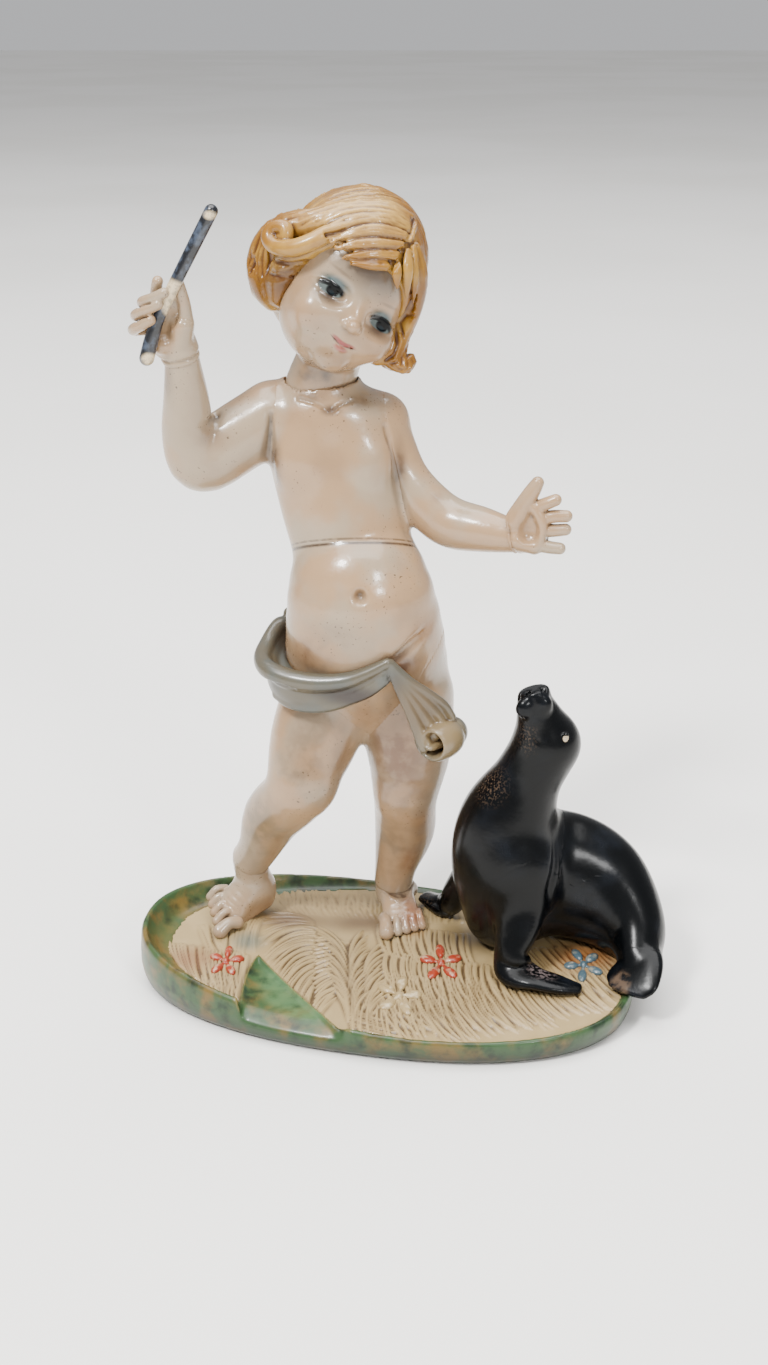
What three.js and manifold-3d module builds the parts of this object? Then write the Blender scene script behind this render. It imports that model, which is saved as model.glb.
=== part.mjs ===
// A putto with a baton and a seal, on an oval base with a leaf rim: a figurine of moulded plastic
// pieces, plugged into each other and glued. Millimetres, +Z up, -Y towards the viewer, and the
// origin at the centre of the base's underside. Left and right are the child's own.
import * as THREE from 'three';
import { mergeVertices } from 'three/addons/utils/BufferGeometryUtils.js';
import Module from 'manifold-3d';

const wasm = await Module();
wasm.setup();

const v = (x, y, z) => new THREE.Vector3(x, y, z);
const degrees = (angle) => THREE.MathUtils.degToRad(angle);

// Clearances
const SEAM = 0.3; // gap between two mouldings that meet
const PEG_GAP = 0.3; // radial gap of a peg in its socket
const SOCKET_SPARE = 0.5; // how much deeper a socket is than its peg is long

// Base
const BASE_LENGTH = 108.5;
const BASE_DEPTH = 59.5;
const BASE_TURN = -11.5; // degrees from the line across the child's chest to the oval's long axis
const BASE_SQUARENESS = 2.25; // exponent of the oval: 2 is an ellipse
const BASE_TAPER = 0.05; // share by which the oval is deeper at its right end and less deep at its left
const TRAY_FLOOR = 2.4;
const RIM_WIDTH = 2.2;
const RIM_CREST = 0.9; // from the outside to the rim's highest line
const RIM_FRONT = 6.2; // rim height at the viewer's side
const RIM_BACK = 9.6;
const LIP_RISE = 4.6; // how much higher the rim stands where the leaf curls up, at the left
const LIP_WIDTH = 3.4; // how much wider it is there
const LIP_SIDE = 180; // degrees round from the oval's right end, where the leaf curls up most
const GROUND_FRONT = 5.2; // height of the grass at the front edge
const GROUND_BACK = 9.8;
const LIP_SPREAD = 1.15; // how far round it goes: 1 is a quarter of the oval each way
const LEAF_LENGTH = 26; // of the green leaf that comes over the rim, at the front left
const LEAF_THICK = 1.3;

// Child: lengths of the supporting left leg set how high the pelvis stands
const ANKLE_HEIGHT = 6.6;
const SHIN = 24.2;
const THIGH = 22.8;
const HIP_SPREAD = 9.6; // from the middle of the pelvis to a hip joint
const PELVIS_RISE = 9.5; // from the hip joints to the pelvis's middle
const BELLY_RISE = 15;
const WAIST_RISE = 9.4; // from the belly's middle to the seam round the waist
const CHEST_RISE = 18.4;
const SHOULDER_RISE = 10;
const SHOULDER_SPREAD = 12.6;
const NECK_RISE = 14.4; // from the chest's middle to the seam round the neck
const NECK_LENGTH = 5.6;
const HEAD_RISE = 15.8;
const UPPER_ARM_RIGHT = 18.7;
const FOREARM_RIGHT = 23.4;
const UPPER_ARM_LEFT = 23.4;
const FOREARM_LEFT = 18;
const ANKLE_RADIUS = 4.3;
const KNEE_RADIUS = 7;
const THIGH_RADIUS = 9.6;
const PELVIS_WIDTH = 35;
const PELVIS_DEPTH = 27;
const BELLY_WIDTH = 32;
const BELLY_DEPTH = 27;
const WAIST_WIDTH = 26;
const WAIST_DEPTH = 20;
const CHEST_WIDTH = 27;
const CHEST_DEPTH = 19;
const NECK_RADIUS = 5.6;
const SHOULDER_RADIUS = 6.6;
const ELBOW_RADIUS = 5.6;
const WRIST_RADIUS = 3.5;
const FOOT_LENGTH = 19;
const FOOT_WIDTH = 9;
const TOE_RADIUS = 1.35;
const FINGER_RADIUS = 1.15;
const PALM_WIDTH = 8;
const PALM_LENGTH = 9;
const HEAD_WIDTH = 26.5;
const HEAD_DEPTH = 28;
const HEAD_HEIGHT = 31;
const HEAD_ROLL = 31; // degrees, towards the child's left shoulder
const HEAD_YAW = 15; // degrees, towards the seal
const HEAD_PITCH = 4; // degrees, looking up
const HAIR_THICK = 2.6;
const BATON_LENGTH = 30;
const BATON_RADIUS = 1.2;

// Drape
const DRAPE_WIDTH = 9;
const DRAPE_THICK = 2.2;
const SCROLL_RADIUS = 5.4;
const SCROLL_LENGTH = 8;

// Seal
const SEAL_CHEST_RADIUS = 11.2;
const SEAL_NECK_RADIUS = 7.6;
const SEAL_HEAD_RADIUS = 7;
const SEAL_MUZZLE_RADIUS = 3.6;
const SEAL_RUMP_RADIUS = 10.6;
const SEAL_TAIL_RADIUS = 4.2;
const SEAL_HEIGHT = 62; // of the muzzle above the grass
const SEAL_SHIFT = 0; // of the whole animal along the base, from its place beside the child

// Pegs and pins
const PEG_LARGE = 3.4;
const PEG_MEDIUM = 2.4;
const PEG_SMALL = 1.5;
const PEG_LENGTH = 6;
const PIN_RADIUS = 1.2; // steel pins from the legs through the feet into the base
const PIN_ABOVE_ANKLE = 12;

// Solids: three.js makes every shape, manifold-3d only joins and cuts

/** The merged vertices and triangles of a closed geometry as a solid, whichever way it was wound. */
function solid(geometry) {
  const bare = geometry.clone();
  for (const name of ['normal', 'uv']) bare.deleteAttribute(name);
  const merged = mergeVertices(bare, 1e-4);
  const triangles = [];
  for (let i = 0; i < merged.index.count; i += 3) {
    const [a, b, c] = [0, 1, 2].map((k) => merged.index.getX(i + k));
    if (a !== b && b !== c && c !== a) triangles.push([a, b, c]);
  }
  const make = (list) =>
    new wasm.Manifold(
      new wasm.Mesh({
        numProp: 3,
        vertProperties: merged.attributes.position.array,
        triVerts: new Uint32Array(list.flat()),
      }),
    );
  const made = make(triangles);
  return made.volume() < 0 ? make(triangles.map(([a, b, c]) => [a, c, b])) : made;
}

const join = (...solids) => solids.reduce((whole, piece) => whole.add(piece));
const cut = (whole, ...tools) => tools.reduce((rest, tool) => rest.subtract(tool), whole);

/** The largest closed body of a solid, so that crumbs left by a cut are dropped. */
function largest(made) {
  return made.decompose().sort((a, b) => b.volume() - a.volume())[0];
}

/** A turned profile of [radius, height] pairs about +Z, before it is bent to its oval or path. */
function turned(profile, sides) {
  return new THREE.LatheGeometry(
    profile.map(([radius, height]) => new THREE.Vector2(radius, height)),
    sides,
  ).rotateX(Math.PI / 2);
}

/** Moves each vertex of a geometry to where place(x, y, z) says. */
function bend(geometry, place) {
  const points = geometry.attributes.position;
  for (let i = 0; i < points.count; i++) {
    const to = place(points.getX(i), points.getY(i), points.getZ(i));
    points.setXYZ(i, to.x, to.y, to.z);
  }
  return geometry;
}

/**
 * A tapering body along a smooth line through its stations, with round ends. A station is
 * [centre, half width, half depth], and the depth is measured along out.
 */
function limb(stations, { sides = 12, steps = 2, out = v(0, -1, 0), outs = null, grow = 0 } = {}) {
  const path = new THREE.CatmullRomCurve3(stations.map(([at]) => at), false, 'centripetal');
  const sizes = new THREE.CatmullRomCurve3(stations.map(([, wide, deep]) => v(wide, deep ?? wide, 0)));
  const facing = new THREE.CatmullRomCurve3(outs ?? stations.map(() => out));
  const rings = (stations.length - 1) * steps;
  const capShares = sides > 8 ? [1, 0.82, 0.45] : [1, 0.6];
  const profile = [
    ...capShares.map((share) => [Math.sqrt(1 - share * share), -share]),
    ...Array.from({ length: rings + 1 }, (_, i) => [1, i / rings]),
    ...capShares.toReversed().map((share) => [Math.sqrt(1 - share * share), 1 + share]),
  ];
  return solid(
    bend(turned(profile, sides), (x, y, height) => {
      const t = Math.min(1, Math.max(0, height));
      const size = sizes.getPoint(t);
      const tangent = path.getTangent(t);
      const deepWay = facing.getPoint(t);
      deepWay.addScaledVector(tangent, -deepWay.dot(tangent)).normalize();
      const wideWay = tangent.clone().cross(deepWay);
      const past = (height - t) * Math.min(size.x, size.y);
      return path
        .getPoint(t)
        .addScaledVector(tangent, past)
        .addScaledVector(wideWay, x * (size.x + grow))
        .addScaledVector(deepWay, y * (size.y + grow));
    }),
  );
}

/** An ellipsoid with the given half sizes. */
function ball(centre, [rx, ry, rz], { turn = null, around = 16, down = 10, grow = 0 } = {}) {
  const geometry = new THREE.SphereGeometry(1, around, down).rotateX(Math.PI / 2);
  geometry.scale(rx + grow, ry + grow, rz + grow);
  if (turn) geometry.applyMatrix4(turn);
  return solid(geometry.translate(centre.x, centre.y, centre.z));
}

/** A round rod between two points. */
function rod(from, to, radius, sides = 12) {
  const way = to.clone().sub(from);
  const geometry = new THREE.CylinderGeometry(radius, radius, way.length(), sides);
  geometry.applyQuaternion(new THREE.Quaternion().setFromUnitVectors(v(0, 1, 0), way.clone().normalize()));
  const middle = from.clone().lerp(to, 0.5);
  return solid(geometry.translate(middle.x, middle.y, middle.z));
}

/** Keeps what lies past the plane through at, on the side that normal points to, less half a seam. */
function beyond(made, at, normal) {
  const reach = 400;
  const block = new THREE.BoxGeometry(reach, reach, reach).translate(0, 0, -reach / 2 + SEAM / 2);
  block.applyQuaternion(new THREE.Quaternion().setFromUnitVectors(v(0, 0, 1), normal.clone().normalize()));
  return made.subtract(solid(block.translate(at.x, at.y, at.z)));
}

/** A peg that starts inside the piece that carries it, and the socket that takes it. */
function peg(at, way, radius, length = PEG_LENGTH) {
  const along = way.clone().normalize();
  const root = at.clone().addScaledVector(along, -length / 2);
  return {
    pin: rod(root, at.clone().addScaledVector(along, length), radius),
    socket: rod(
      at.clone().addScaledVector(along, -SEAM),
      at.clone().addScaledVector(along, length + SOCKET_SPARE),
      radius + PEG_GAP,
    ),
  };
}

// Skeleton

/** Height of the grass at a place on the base, lifted by a clearance. */
function grassHeight(y, lift = 0) {
  const share = y / BASE_DEPTH + 0.5;
  return GROUND_FRONT + (GROUND_BACK - GROUND_FRONT) * share + lift;
}

const leftAnkle = v(2.2, 20, grassHeight(20) + ANKLE_HEIGHT);
const leftKnee = leftAnkle.clone().addScaledVector(v(2.4, -5, 22.6).normalize(), SHIN);
const leftHip = leftKnee.clone().addScaledVector(v(1.2, 1, 22).normalize(), THIGH);
const pelvis = leftHip.clone().add(v(-HIP_SPREAD, -1, PELVIS_RISE));
const rightHip = pelvis.clone().add(v(-HIP_SPREAD + 0.6, 1, -PELVIS_RISE));
const rightAnkle = v(-29.8, 17, grassHeight(17) + 14);
const rightKnee = rightHip.clone().lerp(rightAnkle, 0.5).add(v(2.6, -8, 1.5));
const belly = pelvis.clone().add(v(-0.6, -4.5, BELLY_RISE));
const waist = belly.clone().add(v(-1.6, 3.6, WAIST_RISE));
const chest = waist.clone().add(v(-3.6, 3, CHEST_RISE));
const rightShoulder = chest.clone().add(v(-SHOULDER_SPREAD - 0.7, 0.8, SHOULDER_RISE - 0.7));
const leftShoulder = chest.clone().add(v(SHOULDER_SPREAD - 1.6, 0.8, SHOULDER_RISE + 0.6));
const neck = chest.clone().add(v(-1.8, 0.8, NECK_RISE));
const throat = neck.clone().addScaledVector(v(1.8, -1.6, 8).normalize(), NECK_LENGTH);
const head = throat.clone().add(v(2.6, -1.6, HEAD_RISE));
const rightElbow = rightShoulder.clone().addScaledVector(v(-15.4, -4, -8).normalize(), UPPER_ARM_RIGHT);
const rightWrist = rightElbow.clone().addScaledVector(v(-0.4, -8, 22.1).normalize(), FOREARM_RIGHT);
const leftElbow = leftShoulder.clone().addScaledVector(v(8.8, -4, -21.6).normalize(), UPPER_ARM_LEFT);
const leftWrist = leftElbow.clone().addScaledVector(v(16, -8, -2.1).normalize(), FOREARM_LEFT);

// Base

/** Where a unit circle's point lands on the turned oval, for half sizes given. */
function onOval(x, y, halfLength, halfDepth) {
  const radius = Math.hypot(x, y);
  if (radius < 1e-9) return v(0, 0, 0);
  const [c, s] = [x / radius, y / radius];
  const k = (Math.abs(c) ** BASE_SQUARENESS + Math.abs(s) ** BASE_SQUARENESS) ** (-1 / BASE_SQUARENESS);
  const taper = 1 + BASE_TAPER * radius * c * k;
  const at = v(radius * c * k * halfLength, radius * s * k * halfDepth * taper, 0);
  return at.applyAxisAngle(v(0, 0, 1), degrees(BASE_TURN));
}

/** From 0 to 1, how far the leaf rim curls up here, for a point of the unit circle. */
function curl(x, y) {
  const angle = Math.atan2(y, x);
  const turn = 2 * Math.PI;
  const away = Math.abs(THREE.MathUtils.euclideanModulo(angle - degrees(LIP_SIDE) + turn / 2, turn) - turn / 2);
  return Math.max(0, Math.cos(Math.min(away / LIP_SPREAD, turn / 4))) ** 1.3;
}

function rimHeight(x, y, back) {
  const share = back / BASE_DEPTH + 0.5;
  return RIM_FRONT + (RIM_BACK - RIM_FRONT) * share + LIP_RISE * curl(x, y);
}

/**
 * An oval body. Each ring of its profile is [share of the oval's size, inset in mm, height], and
 * both functions get the ring's point on the unit circle, the height also its place from front to back.
 */
function ovalSolid(profile, sides = 48) {
  const levels = profile.map(([share], level) => [share, level]);
  return solid(
    bend(turned(levels, sides), (x, y, level) => {
      const [, inset, height] = profile[Math.round(level)];
      const wide = inset(x, y);
      const at = onOval(x, y, BASE_LENGTH / 2 - wide, BASE_DEPTH / 2 - wide);
      return at.setZ(height(x, y, at.y));
    }),
  );
}

/** The pocket's wall stands further in where the lip is wide. */
const pocketInset = (x, y) => RIM_WIDTH + LIP_WIDTH * curl(x, y);
const grassTop = (x, y, back) => grassHeight(back);

function baseTray() {
  const inset = (amount) => () => amount;
  return ovalSolid([
    [0, inset(0), () => 0],
    [1, inset(2.2), () => 0],
    [1, inset(0.5), () => 1.6],
    [1, inset(0), (x, y, back) => rimHeight(x, y, back) * 0.7],
    [1, inset(RIM_CREST), rimHeight],
    [1, pocketInset, (x, y, back) => grassHeight(back) + SEAM],
    [1, pocketInset, () => TRAY_FLOOR],
    [0, inset(0), () => TRAY_FLOOR],
  ]);
}

/** The green leaf: its tip lies on the grass at the front left, and its root runs under the rim. */
const leafTip = v(-27.4, 0.2, 0);
const leafRoots = [v(-2, -LEAF_LENGTH, 0), v(21, -LEAF_LENGTH - 4, 0)].map((way) => way.add(leafTip));
const leafBend = [v(-4.6, -9, 0), v(7.5, -13, 0)]; // from the tip to where each edge is pulled
function leaf(grow = 0) {
  const outline = new THREE.Shape();
  const tip = leafTip.clone().add(v(0, 2 * grow, 0));
  const [left, right] = leafRoots;
  const [leftPull, rightPull] = leafBend.map((way) => leafTip.clone().add(way));
  outline.moveTo(tip.x, tip.y);
  outline.quadraticCurveTo(leftPull.x - grow, leftPull.y, left.x - grow, left.y);
  outline.lineTo(right.x + grow, right.y);
  outline.quadraticCurveTo(rightPull.x + grow, rightPull.y + grow, tip.x, tip.y);
  const thick = LEAF_THICK + 2 * grow;
  const plate = new THREE.ExtrudeGeometry(outline, { depth: thick, bevelEnabled: false, curveSegments: 6 });
  const laid = solid(bend(plate, (x, y, z) => v(x, y, grassHeight(y) - LEAF_THICK / 2 - grow + z)));
  const inset = () => RIM_WIDTH / 2;
  const [low, high] = [() => 0, () => 3 * GROUND_BACK];
  return laid.intersect(ovalSolid([[0, inset, low], [1, inset, low], [1, inset, high], [0, inset, high]]));
}

function grassGround() {
  const inset = (x, y) => pocketInset(x, y) + SEAM;
  const underside = () => TRAY_FLOOR + SEAM;
  return ovalSolid([
    [0, inset, underside],
    [1, inset, underside],
    [1, inset, grassTop],
    [0, inset, grassTop],
  ]);
}

/** Everything below the grass's surface, and a seam above it. */
function underGrass() {
  const block = new THREE.BoxGeometry(BASE_LENGTH * 1.3, BASE_DEPTH * 1.6, 2 * GROUND_BACK);
  return solid(bend(block, (x, y, z) => v(x, y, z > 0 ? grassHeight(y, SEAM) : -GROUND_BACK)));
}

/** The space of the base and its rim, with a seam round it, to cut whatever stands on it. */
function baseSpace() {
  const outside = () => -SEAM;
  const rimTop = (x, y, back) => rimHeight(x, y, back) + SEAM;
  const grassLevel = (lift) => (x, y, back) => grassHeight(back, lift);
  const rim = ovalSolid([
    [0, outside, () => -SEAM],
    [1, outside, () => -SEAM],
    [1, outside, rimTop],
    [1, () => RIM_CREST, rimTop],
    [1, pocketInset, grassLevel(2 * SEAM)],
    [1, (x, y) => pocketInset(x, y) + 2 * SEAM, grassLevel(0)],
    [0, pocketInset, grassLevel(0)],
  ]);
  return join(rim, underGrass());
}

const FLOWER_PETAL = 3.3; // length of a petal
const FLOWER_PETAL_WIDTH = 1.7;
const FLOWER_HEIGHT = 0.9; // how far a petal stands out of the grass
const FLOWERS = {
  flower_red_left: { at: [-34, -3.4], turn: 12, size: 1 },
  flower_red_centre: { at: [12.2, -4.4], turn: 20, size: 1.15 },
  flower_ivory: { at: [3.6, -16.4], turn: 5, size: 1.2 },
  flower_blue: { at: [43.2, -4.4], turn: 40, size: 1.05 },
};

/** A flower lying on the grass: five petals round a button, in relief. */
function flower({ at: [x, y], turn, size }) {
  const centre = v(x, y, grassHeight(y));
  const button = ball(centre, [size * 1.1, size * 1.1, FLOWER_HEIGHT], { around: 7, down: 4 });
  const petals = Array.from({ length: 5 }, (_, i) => {
    const angle = degrees(turn + i * 72);
    const spread = (size * FLOWER_PETAL) / 2;
    const place = centre.clone().add(v(Math.cos(angle) * spread * 1.25, Math.sin(angle) * spread * 1.25, 0));
    return ball(place, [spread, (size * FLOWER_PETAL_WIDTH) / 2, FLOWER_HEIGHT], {
      turn: new THREE.Matrix4().makeRotationZ(angle),
      around: 7,
      down: 4,
    });
  });
  return largest(cut(join(button, ...petals), underGrass()));
}

// Child's lower half

const LEG_JOINTS = {
  left: [leftHip, leftKnee, leftAnkle],
  right: [rightHip, rightKnee, rightAnkle],
};

/** Left and right legs, from inside the pelvis to below the ankle. */
function legBody(side, grow = 0) {
  const [hip, knee, ankle] = LEG_JOINTS[side];
  const calf = knee.clone().lerp(ankle, 0.42).add(v(side === 'left' ? 1 : -1, 2, 0));
  const thigh = hip.clone().lerp(knee, 0.45).add(v(0, -0.5, 0));
  return limb(
    [
      [hip, THIGH_RADIUS * 0.98, THIGH_RADIUS * 1.08],
      [thigh, THIGH_RADIUS * 0.98, THIGH_RADIUS],
      [knee, KNEE_RADIUS, KNEE_RADIUS],
      [calf, KNEE_RADIUS * 0.95, KNEE_RADIUS * 0.95],
      [knee.clone().lerp(ankle, 0.8), ANKLE_RADIUS * 1.12, ANKLE_RADIUS * 1.12],
      [ankle.clone().lerp(knee, -0.1), ANKLE_RADIUS, ANKLE_RADIUS * 1.05],
    ],
    { grow, sides: 14 },
  );
}

const groin = pelvis.clone().add(v(0.6, 0, -PELVIS_RISE - 5));
const leftCrease = v(0.82, 0, -0.57); // the way from the pelvis into the left leg
const rightCrease = v(-0.74, 0, -0.67);

function pelvisBody(grow = 0) {
  const trunk = limb(
    [
      [pelvis.clone().add(v(0, 0, -7)), PELVIS_WIDTH * 0.36, PELVIS_DEPTH * 0.4],
      [pelvis, PELVIS_WIDTH / 2, PELVIS_DEPTH / 2],
      [belly, BELLY_WIDTH / 2, BELLY_DEPTH / 2],
      [waist, WAIST_WIDTH / 2, WAIST_DEPTH / 2],
      [waist.clone().lerp(chest, 0.5), CHEST_WIDTH / 2, CHEST_DEPTH / 2],
    ],
    { sides: 16, steps: 2, grow },
  );
  const buttocks = [-1, 1].map((side) =>
    ball(pelvis.clone().add(v(side * 7.4, 7.5, -4)), [9, 8.5, 9.5], { grow }),
  );
  return join(trunk, ...buttocks);
}

const waistWay = v(-0.02, 0.42, 0.9).normalize();
const waistPeg = peg(waist, waistWay, PEG_LARGE);
const leftLegPeg = peg(leftHip.clone().add(v(1, 0, 1.5)), leftCrease.clone().negate(), PEG_LARGE);
const rightLegPeg = peg(rightHip.clone().add(v(-1, 0, 1.5)), rightCrease.clone().negate(), PEG_LARGE);

function pelvisPiece() {
  const whole = join(pelvisBody(), legBody('left'), legBody('right'));
  let piece = beyond(whole, waist, waistWay.clone().negate());
  piece = beyond(piece, groin, leftCrease.clone().negate());
  piece = beyond(piece, groin, rightCrease.clone().negate());
  return largest(cut(join(piece, waistPeg.pin), leftLegPeg.socket, rightLegPeg.socket));
}

/** A steel pin inside each shin, through the foot and into the grass slab. */
const pinBottom = TRAY_FLOOR + 2 * SEAM;
const PINS = {
  left: [leftAnkle.clone().lerp(leftKnee, PIN_ABOVE_ANKLE / SHIN), leftAnkle.clone().setZ(pinBottom)],
  right: [
    rightAnkle.clone().lerp(rightKnee, 0.3).add(v(-0.8, 0.6, 0)),
    rightAnkle.clone().add(v(-4.2, -0.8, 0)).setZ(pinBottom),
  ],
};
const pin = (side, grow = 0) => rod(PINS[side][0], PINS[side][1], PIN_RADIUS + grow, 10);
const pinHole = (side) => {
  const [top, bottom] = PINS[side];
  const way = top.clone().sub(bottom).normalize();
  const open = bottom.clone().addScaledVector(way, -GROUND_BACK);
  return rod(open, top.clone().addScaledVector(way, SOCKET_SPARE), PIN_RADIUS + PEG_GAP, 10);
};

function legPiece(side) {
  const [crease, ankle, knee, plug] =
    side === 'left'
      ? [leftCrease, leftAnkle, leftKnee, leftLegPeg]
      : [rightCrease, rightAnkle, rightKnee, rightLegPeg];
  const trunkAndLeg = join(legBody(side), pelvisBody());
  let piece = beyond(trunkAndLeg, groin, crease);
  piece = beyond(piece, groin, v(side === 'left' ? 1 : -1, 0, 0));
  piece = beyond(piece, ankle, knee.clone().sub(ankle));
  return largest(cut(join(piece, plug.pin), pinHole(side)));
}

/** A bare foot: heel, arch and five toes. Forward is the way that the toes point. */
function footPiece(side) {
  const left = side === 'left';
  const ankle = left ? leftAnkle : rightAnkle;
  const knee = left ? leftKnee : rightKnee;
  const forward = left ? v(0.12, -1, 0).normalize() : v(-0.88, -0.47, 0).normalize();
  const outer = left ? v(1, 0.2, 0).normalize() : v(-0.36, 0.93, 0).normalize();
  const heelHeight = left ? grassHeight(22) + 3 : grassHeight(17) + 6.5;
  const heel = ankle.clone().addScaledVector(forward, -2.2).setZ(heelHeight);
  const toeLine = heel.clone().addScaledVector(forward, FOOT_LENGTH * 0.62);
  const tread = (at, rise) => at.clone().setZ(grassHeight(at.y) + rise);
  const instep = heel.clone().lerp(toeLine, 0.5).setZ((heelHeight + grassHeight(toeLine.y) + 3) / 2 + 0.8);
  const sole = limb(
    [
      [heel, FOOT_WIDTH * 0.4, 3.4],
      [instep, FOOT_WIDTH * 0.46, 3.6],
      [tread(toeLine, 1.8), FOOT_WIDTH * 0.5, 2.2],
    ],
    { out: v(0, 0, 1), sides: 12, steps: 3 },
  );
  const shank = limb(
    [
      [ankle.clone().lerp(knee, 0.15), ANKLE_RADIUS, ANKLE_RADIUS * 1.05],
      [ankle, ANKLE_RADIUS, ANKLE_RADIUS * 1.05],
      [heel.clone().lerp(instep, 0.35), FOOT_WIDTH * 0.36, 3.4],
    ],
    { sides: 12, steps: 2 },
  );
  const toes = Array.from({ length: 5 }, (_, i) => {
    const across = (i / 4 - 0.5) * FOOT_WIDTH * 1.04;
    const size = TOE_RADIUS * (i === 0 ? 1.35 : 1 - i * 0.05);
    const root = toeLine.clone().addScaledVector(outer, across).addScaledVector(forward, -1 - i * 0.45);
    const tip = root.clone().addScaledVector(forward, 4.6 - i * 0.25);
    return limb(
      [
        [tread(root, 1.9), size, size],
        [tread(tip, size * 0.75), size, size],
      ],
      { out: v(0, 0, 1), sides: 7, steps: 1 },
    );
  });
  let piece = beyond(join(sole, shank, ...toes), ankle, ankle.clone().sub(knee));
  piece = cut(piece, baseSpace(), pinHole(side));
  return largest(piece);
}

// Child's upper half

function rightArmBody(grow = 0) {
  const middle = rightShoulder.clone().lerp(rightElbow, 0.5).add(v(0, 0, -0.8));
  return limb(
    [
      [rightShoulder, SHOULDER_RADIUS, SHOULDER_RADIUS],
      [middle, ELBOW_RADIUS * 1.22, ELBOW_RADIUS * 1.12],
      [rightElbow.clone().add(v(1.6, 0, -0.2)), ELBOW_RADIUS * 1.12, ELBOW_RADIUS * 1.05],
      [rightElbow.clone().add(v(-0.4, -1.6, 5.6)), ELBOW_RADIUS * 0.98, ELBOW_RADIUS * 0.95],
      [rightElbow.clone().lerp(rightWrist, 0.62), ELBOW_RADIUS * 0.8, ELBOW_RADIUS * 0.8],
      [rightWrist, WRIST_RADIUS, WRIST_RADIUS * 0.95],
    ],
    { grow, steps: 2, sides: 13 },
  );
}

function leftArmBody(grow = 0) {
  const middle = leftShoulder.clone().lerp(leftElbow, 0.5).add(v(0.2, 0, 0));
  return limb(
    [
      [leftShoulder, SHOULDER_RADIUS, SHOULDER_RADIUS],
      [middle, ELBOW_RADIUS * 0.98, ELBOW_RADIUS],
      [leftElbow.clone().add(v(-0.6, 0, 1.6)), ELBOW_RADIUS * 0.94, ELBOW_RADIUS * 0.95],
      [leftElbow.clone().add(v(3.6, -1.6, -1.2)), ELBOW_RADIUS * 0.92, ELBOW_RADIUS * 0.92],
      [leftElbow.clone().lerp(leftWrist, 0.6).add(v(0, 0, -0.4)), ELBOW_RADIUS * 0.84, ELBOW_RADIUS * 0.84],
      [leftWrist, WRIST_RADIUS, WRIST_RADIUS * 0.95],
    ],
    { grow, steps: 2, sides: 13 },
  );
}

function chestBody() {
  const top = chest.clone().lerp(neck, 0.72);
  const trunk = limb(
    [
      [belly, BELLY_WIDTH / 2, BELLY_DEPTH / 2],
      [waist, WAIST_WIDTH / 2, WAIST_DEPTH / 2],
      [chest, CHEST_WIDTH / 2, CHEST_DEPTH / 2],
      [chest.clone().lerp(neck, 0.45), CHEST_WIDTH / 2, CHEST_DEPTH * 0.44],
      [top, CHEST_WIDTH * 0.34, CHEST_DEPTH * 0.34],
    ],
    { sides: 18, steps: 3 },
  );
  const collar = limb(
    [
      [rightShoulder, SHOULDER_RADIUS * 0.9],
      [neck.clone().add(v(0.6, 1, -5)), SHOULDER_RADIUS * 0.95],
      [leftShoulder, SHOULDER_RADIUS * 0.9],
    ],
    { sides: 12, steps: 3 },
  );
  return join(trunk, collar);
}

const neckWay = v(0.1, -0.4, 0.9).normalize(); // the neck's seam dips to a V at the throat
const rightArmSeam = { at: rightShoulder.clone().add(v(0.6, 0, 0)), way: v(-1, -0.05, 0.12) };
const leftArmSeam = { at: leftShoulder.clone().add(v(1.6, 0, -3)), way: v(0.94, -0.05, 0.33) };
const neckPeg = peg(neck, neckWay.clone().negate(), PEG_MEDIUM + 0.6);
const rightArmPeg = peg(rightArmSeam.at, rightArmSeam.way.clone().negate(), PEG_MEDIUM);
const leftArmRoot = leftArmSeam.at.clone().add(v(0, 0, 1.5));
const leftArmPeg = peg(leftArmRoot, leftArmSeam.way.clone().negate(), PEG_MEDIUM);

function neckBody() {
  return limb(
    [
      [neck.clone().add(v(-0.6, 0.6, -4)), NECK_RADIUS * 1.15, NECK_RADIUS],
      [neck, NECK_RADIUS * 1.06, NECK_RADIUS],
      [throat, NECK_RADIUS, NECK_RADIUS],
      [throat.clone().lerp(head, 0.45), NECK_RADIUS, NECK_RADIUS],
    ],
    { sides: 14, steps: 1 },
  );
}

function chestPiece() {
  const whole = join(chestBody(), rightArmBody(), leftArmBody(), neckBody());
  let piece = beyond(whole, waist, waistWay);
  piece = beyond(piece, neck, neckWay.clone().negate());
  piece = beyond(piece, rightArmSeam.at, rightArmSeam.way.clone().negate());
  piece = beyond(piece, leftArmSeam.at, leftArmSeam.way.clone().negate());
  return largest(cut(piece, waistPeg.socket, neckPeg.socket, rightArmPeg.socket, leftArmPeg.socket));
}

const rightHandWay = v(-0.18, -0.32, 1).normalize();
const leftHandWay = v(1, -0.42, 0.22).normalize();
const rightHandPeg = peg(rightWrist, rightHandWay.clone().negate(), PEG_SMALL, PEG_LENGTH * 0.6);
const leftHandPeg = peg(leftWrist, leftHandWay.clone().negate(), PEG_SMALL, PEG_LENGTH * 0.6);

function armPiece(side) {
  const [body, seam, plug, wrist, handWay, handPeg] =
    side === 'right'
      ? [rightArmBody(), rightArmSeam, rightArmPeg, rightWrist, rightHandWay, rightHandPeg]
      : [leftArmBody(), leftArmSeam, leftArmPeg, leftWrist, leftHandWay, leftHandPeg];
  let piece = beyond(body, seam.at, seam.way);
  piece = beyond(piece, wrist, handWay.clone().negate());
  return largest(cut(join(piece, plug.pin), handPeg.socket));
}

/** A finger through the given points, thinner towards its tip. */
function finger(points, radius = FINGER_RADIUS) {
  return limb(
    points.map((at, i) => [at, radius * (1 - 0.07 * i), radius * (1 - 0.07 * i)]),
    { sides: 7, steps: 1 },
  );
}

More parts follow.
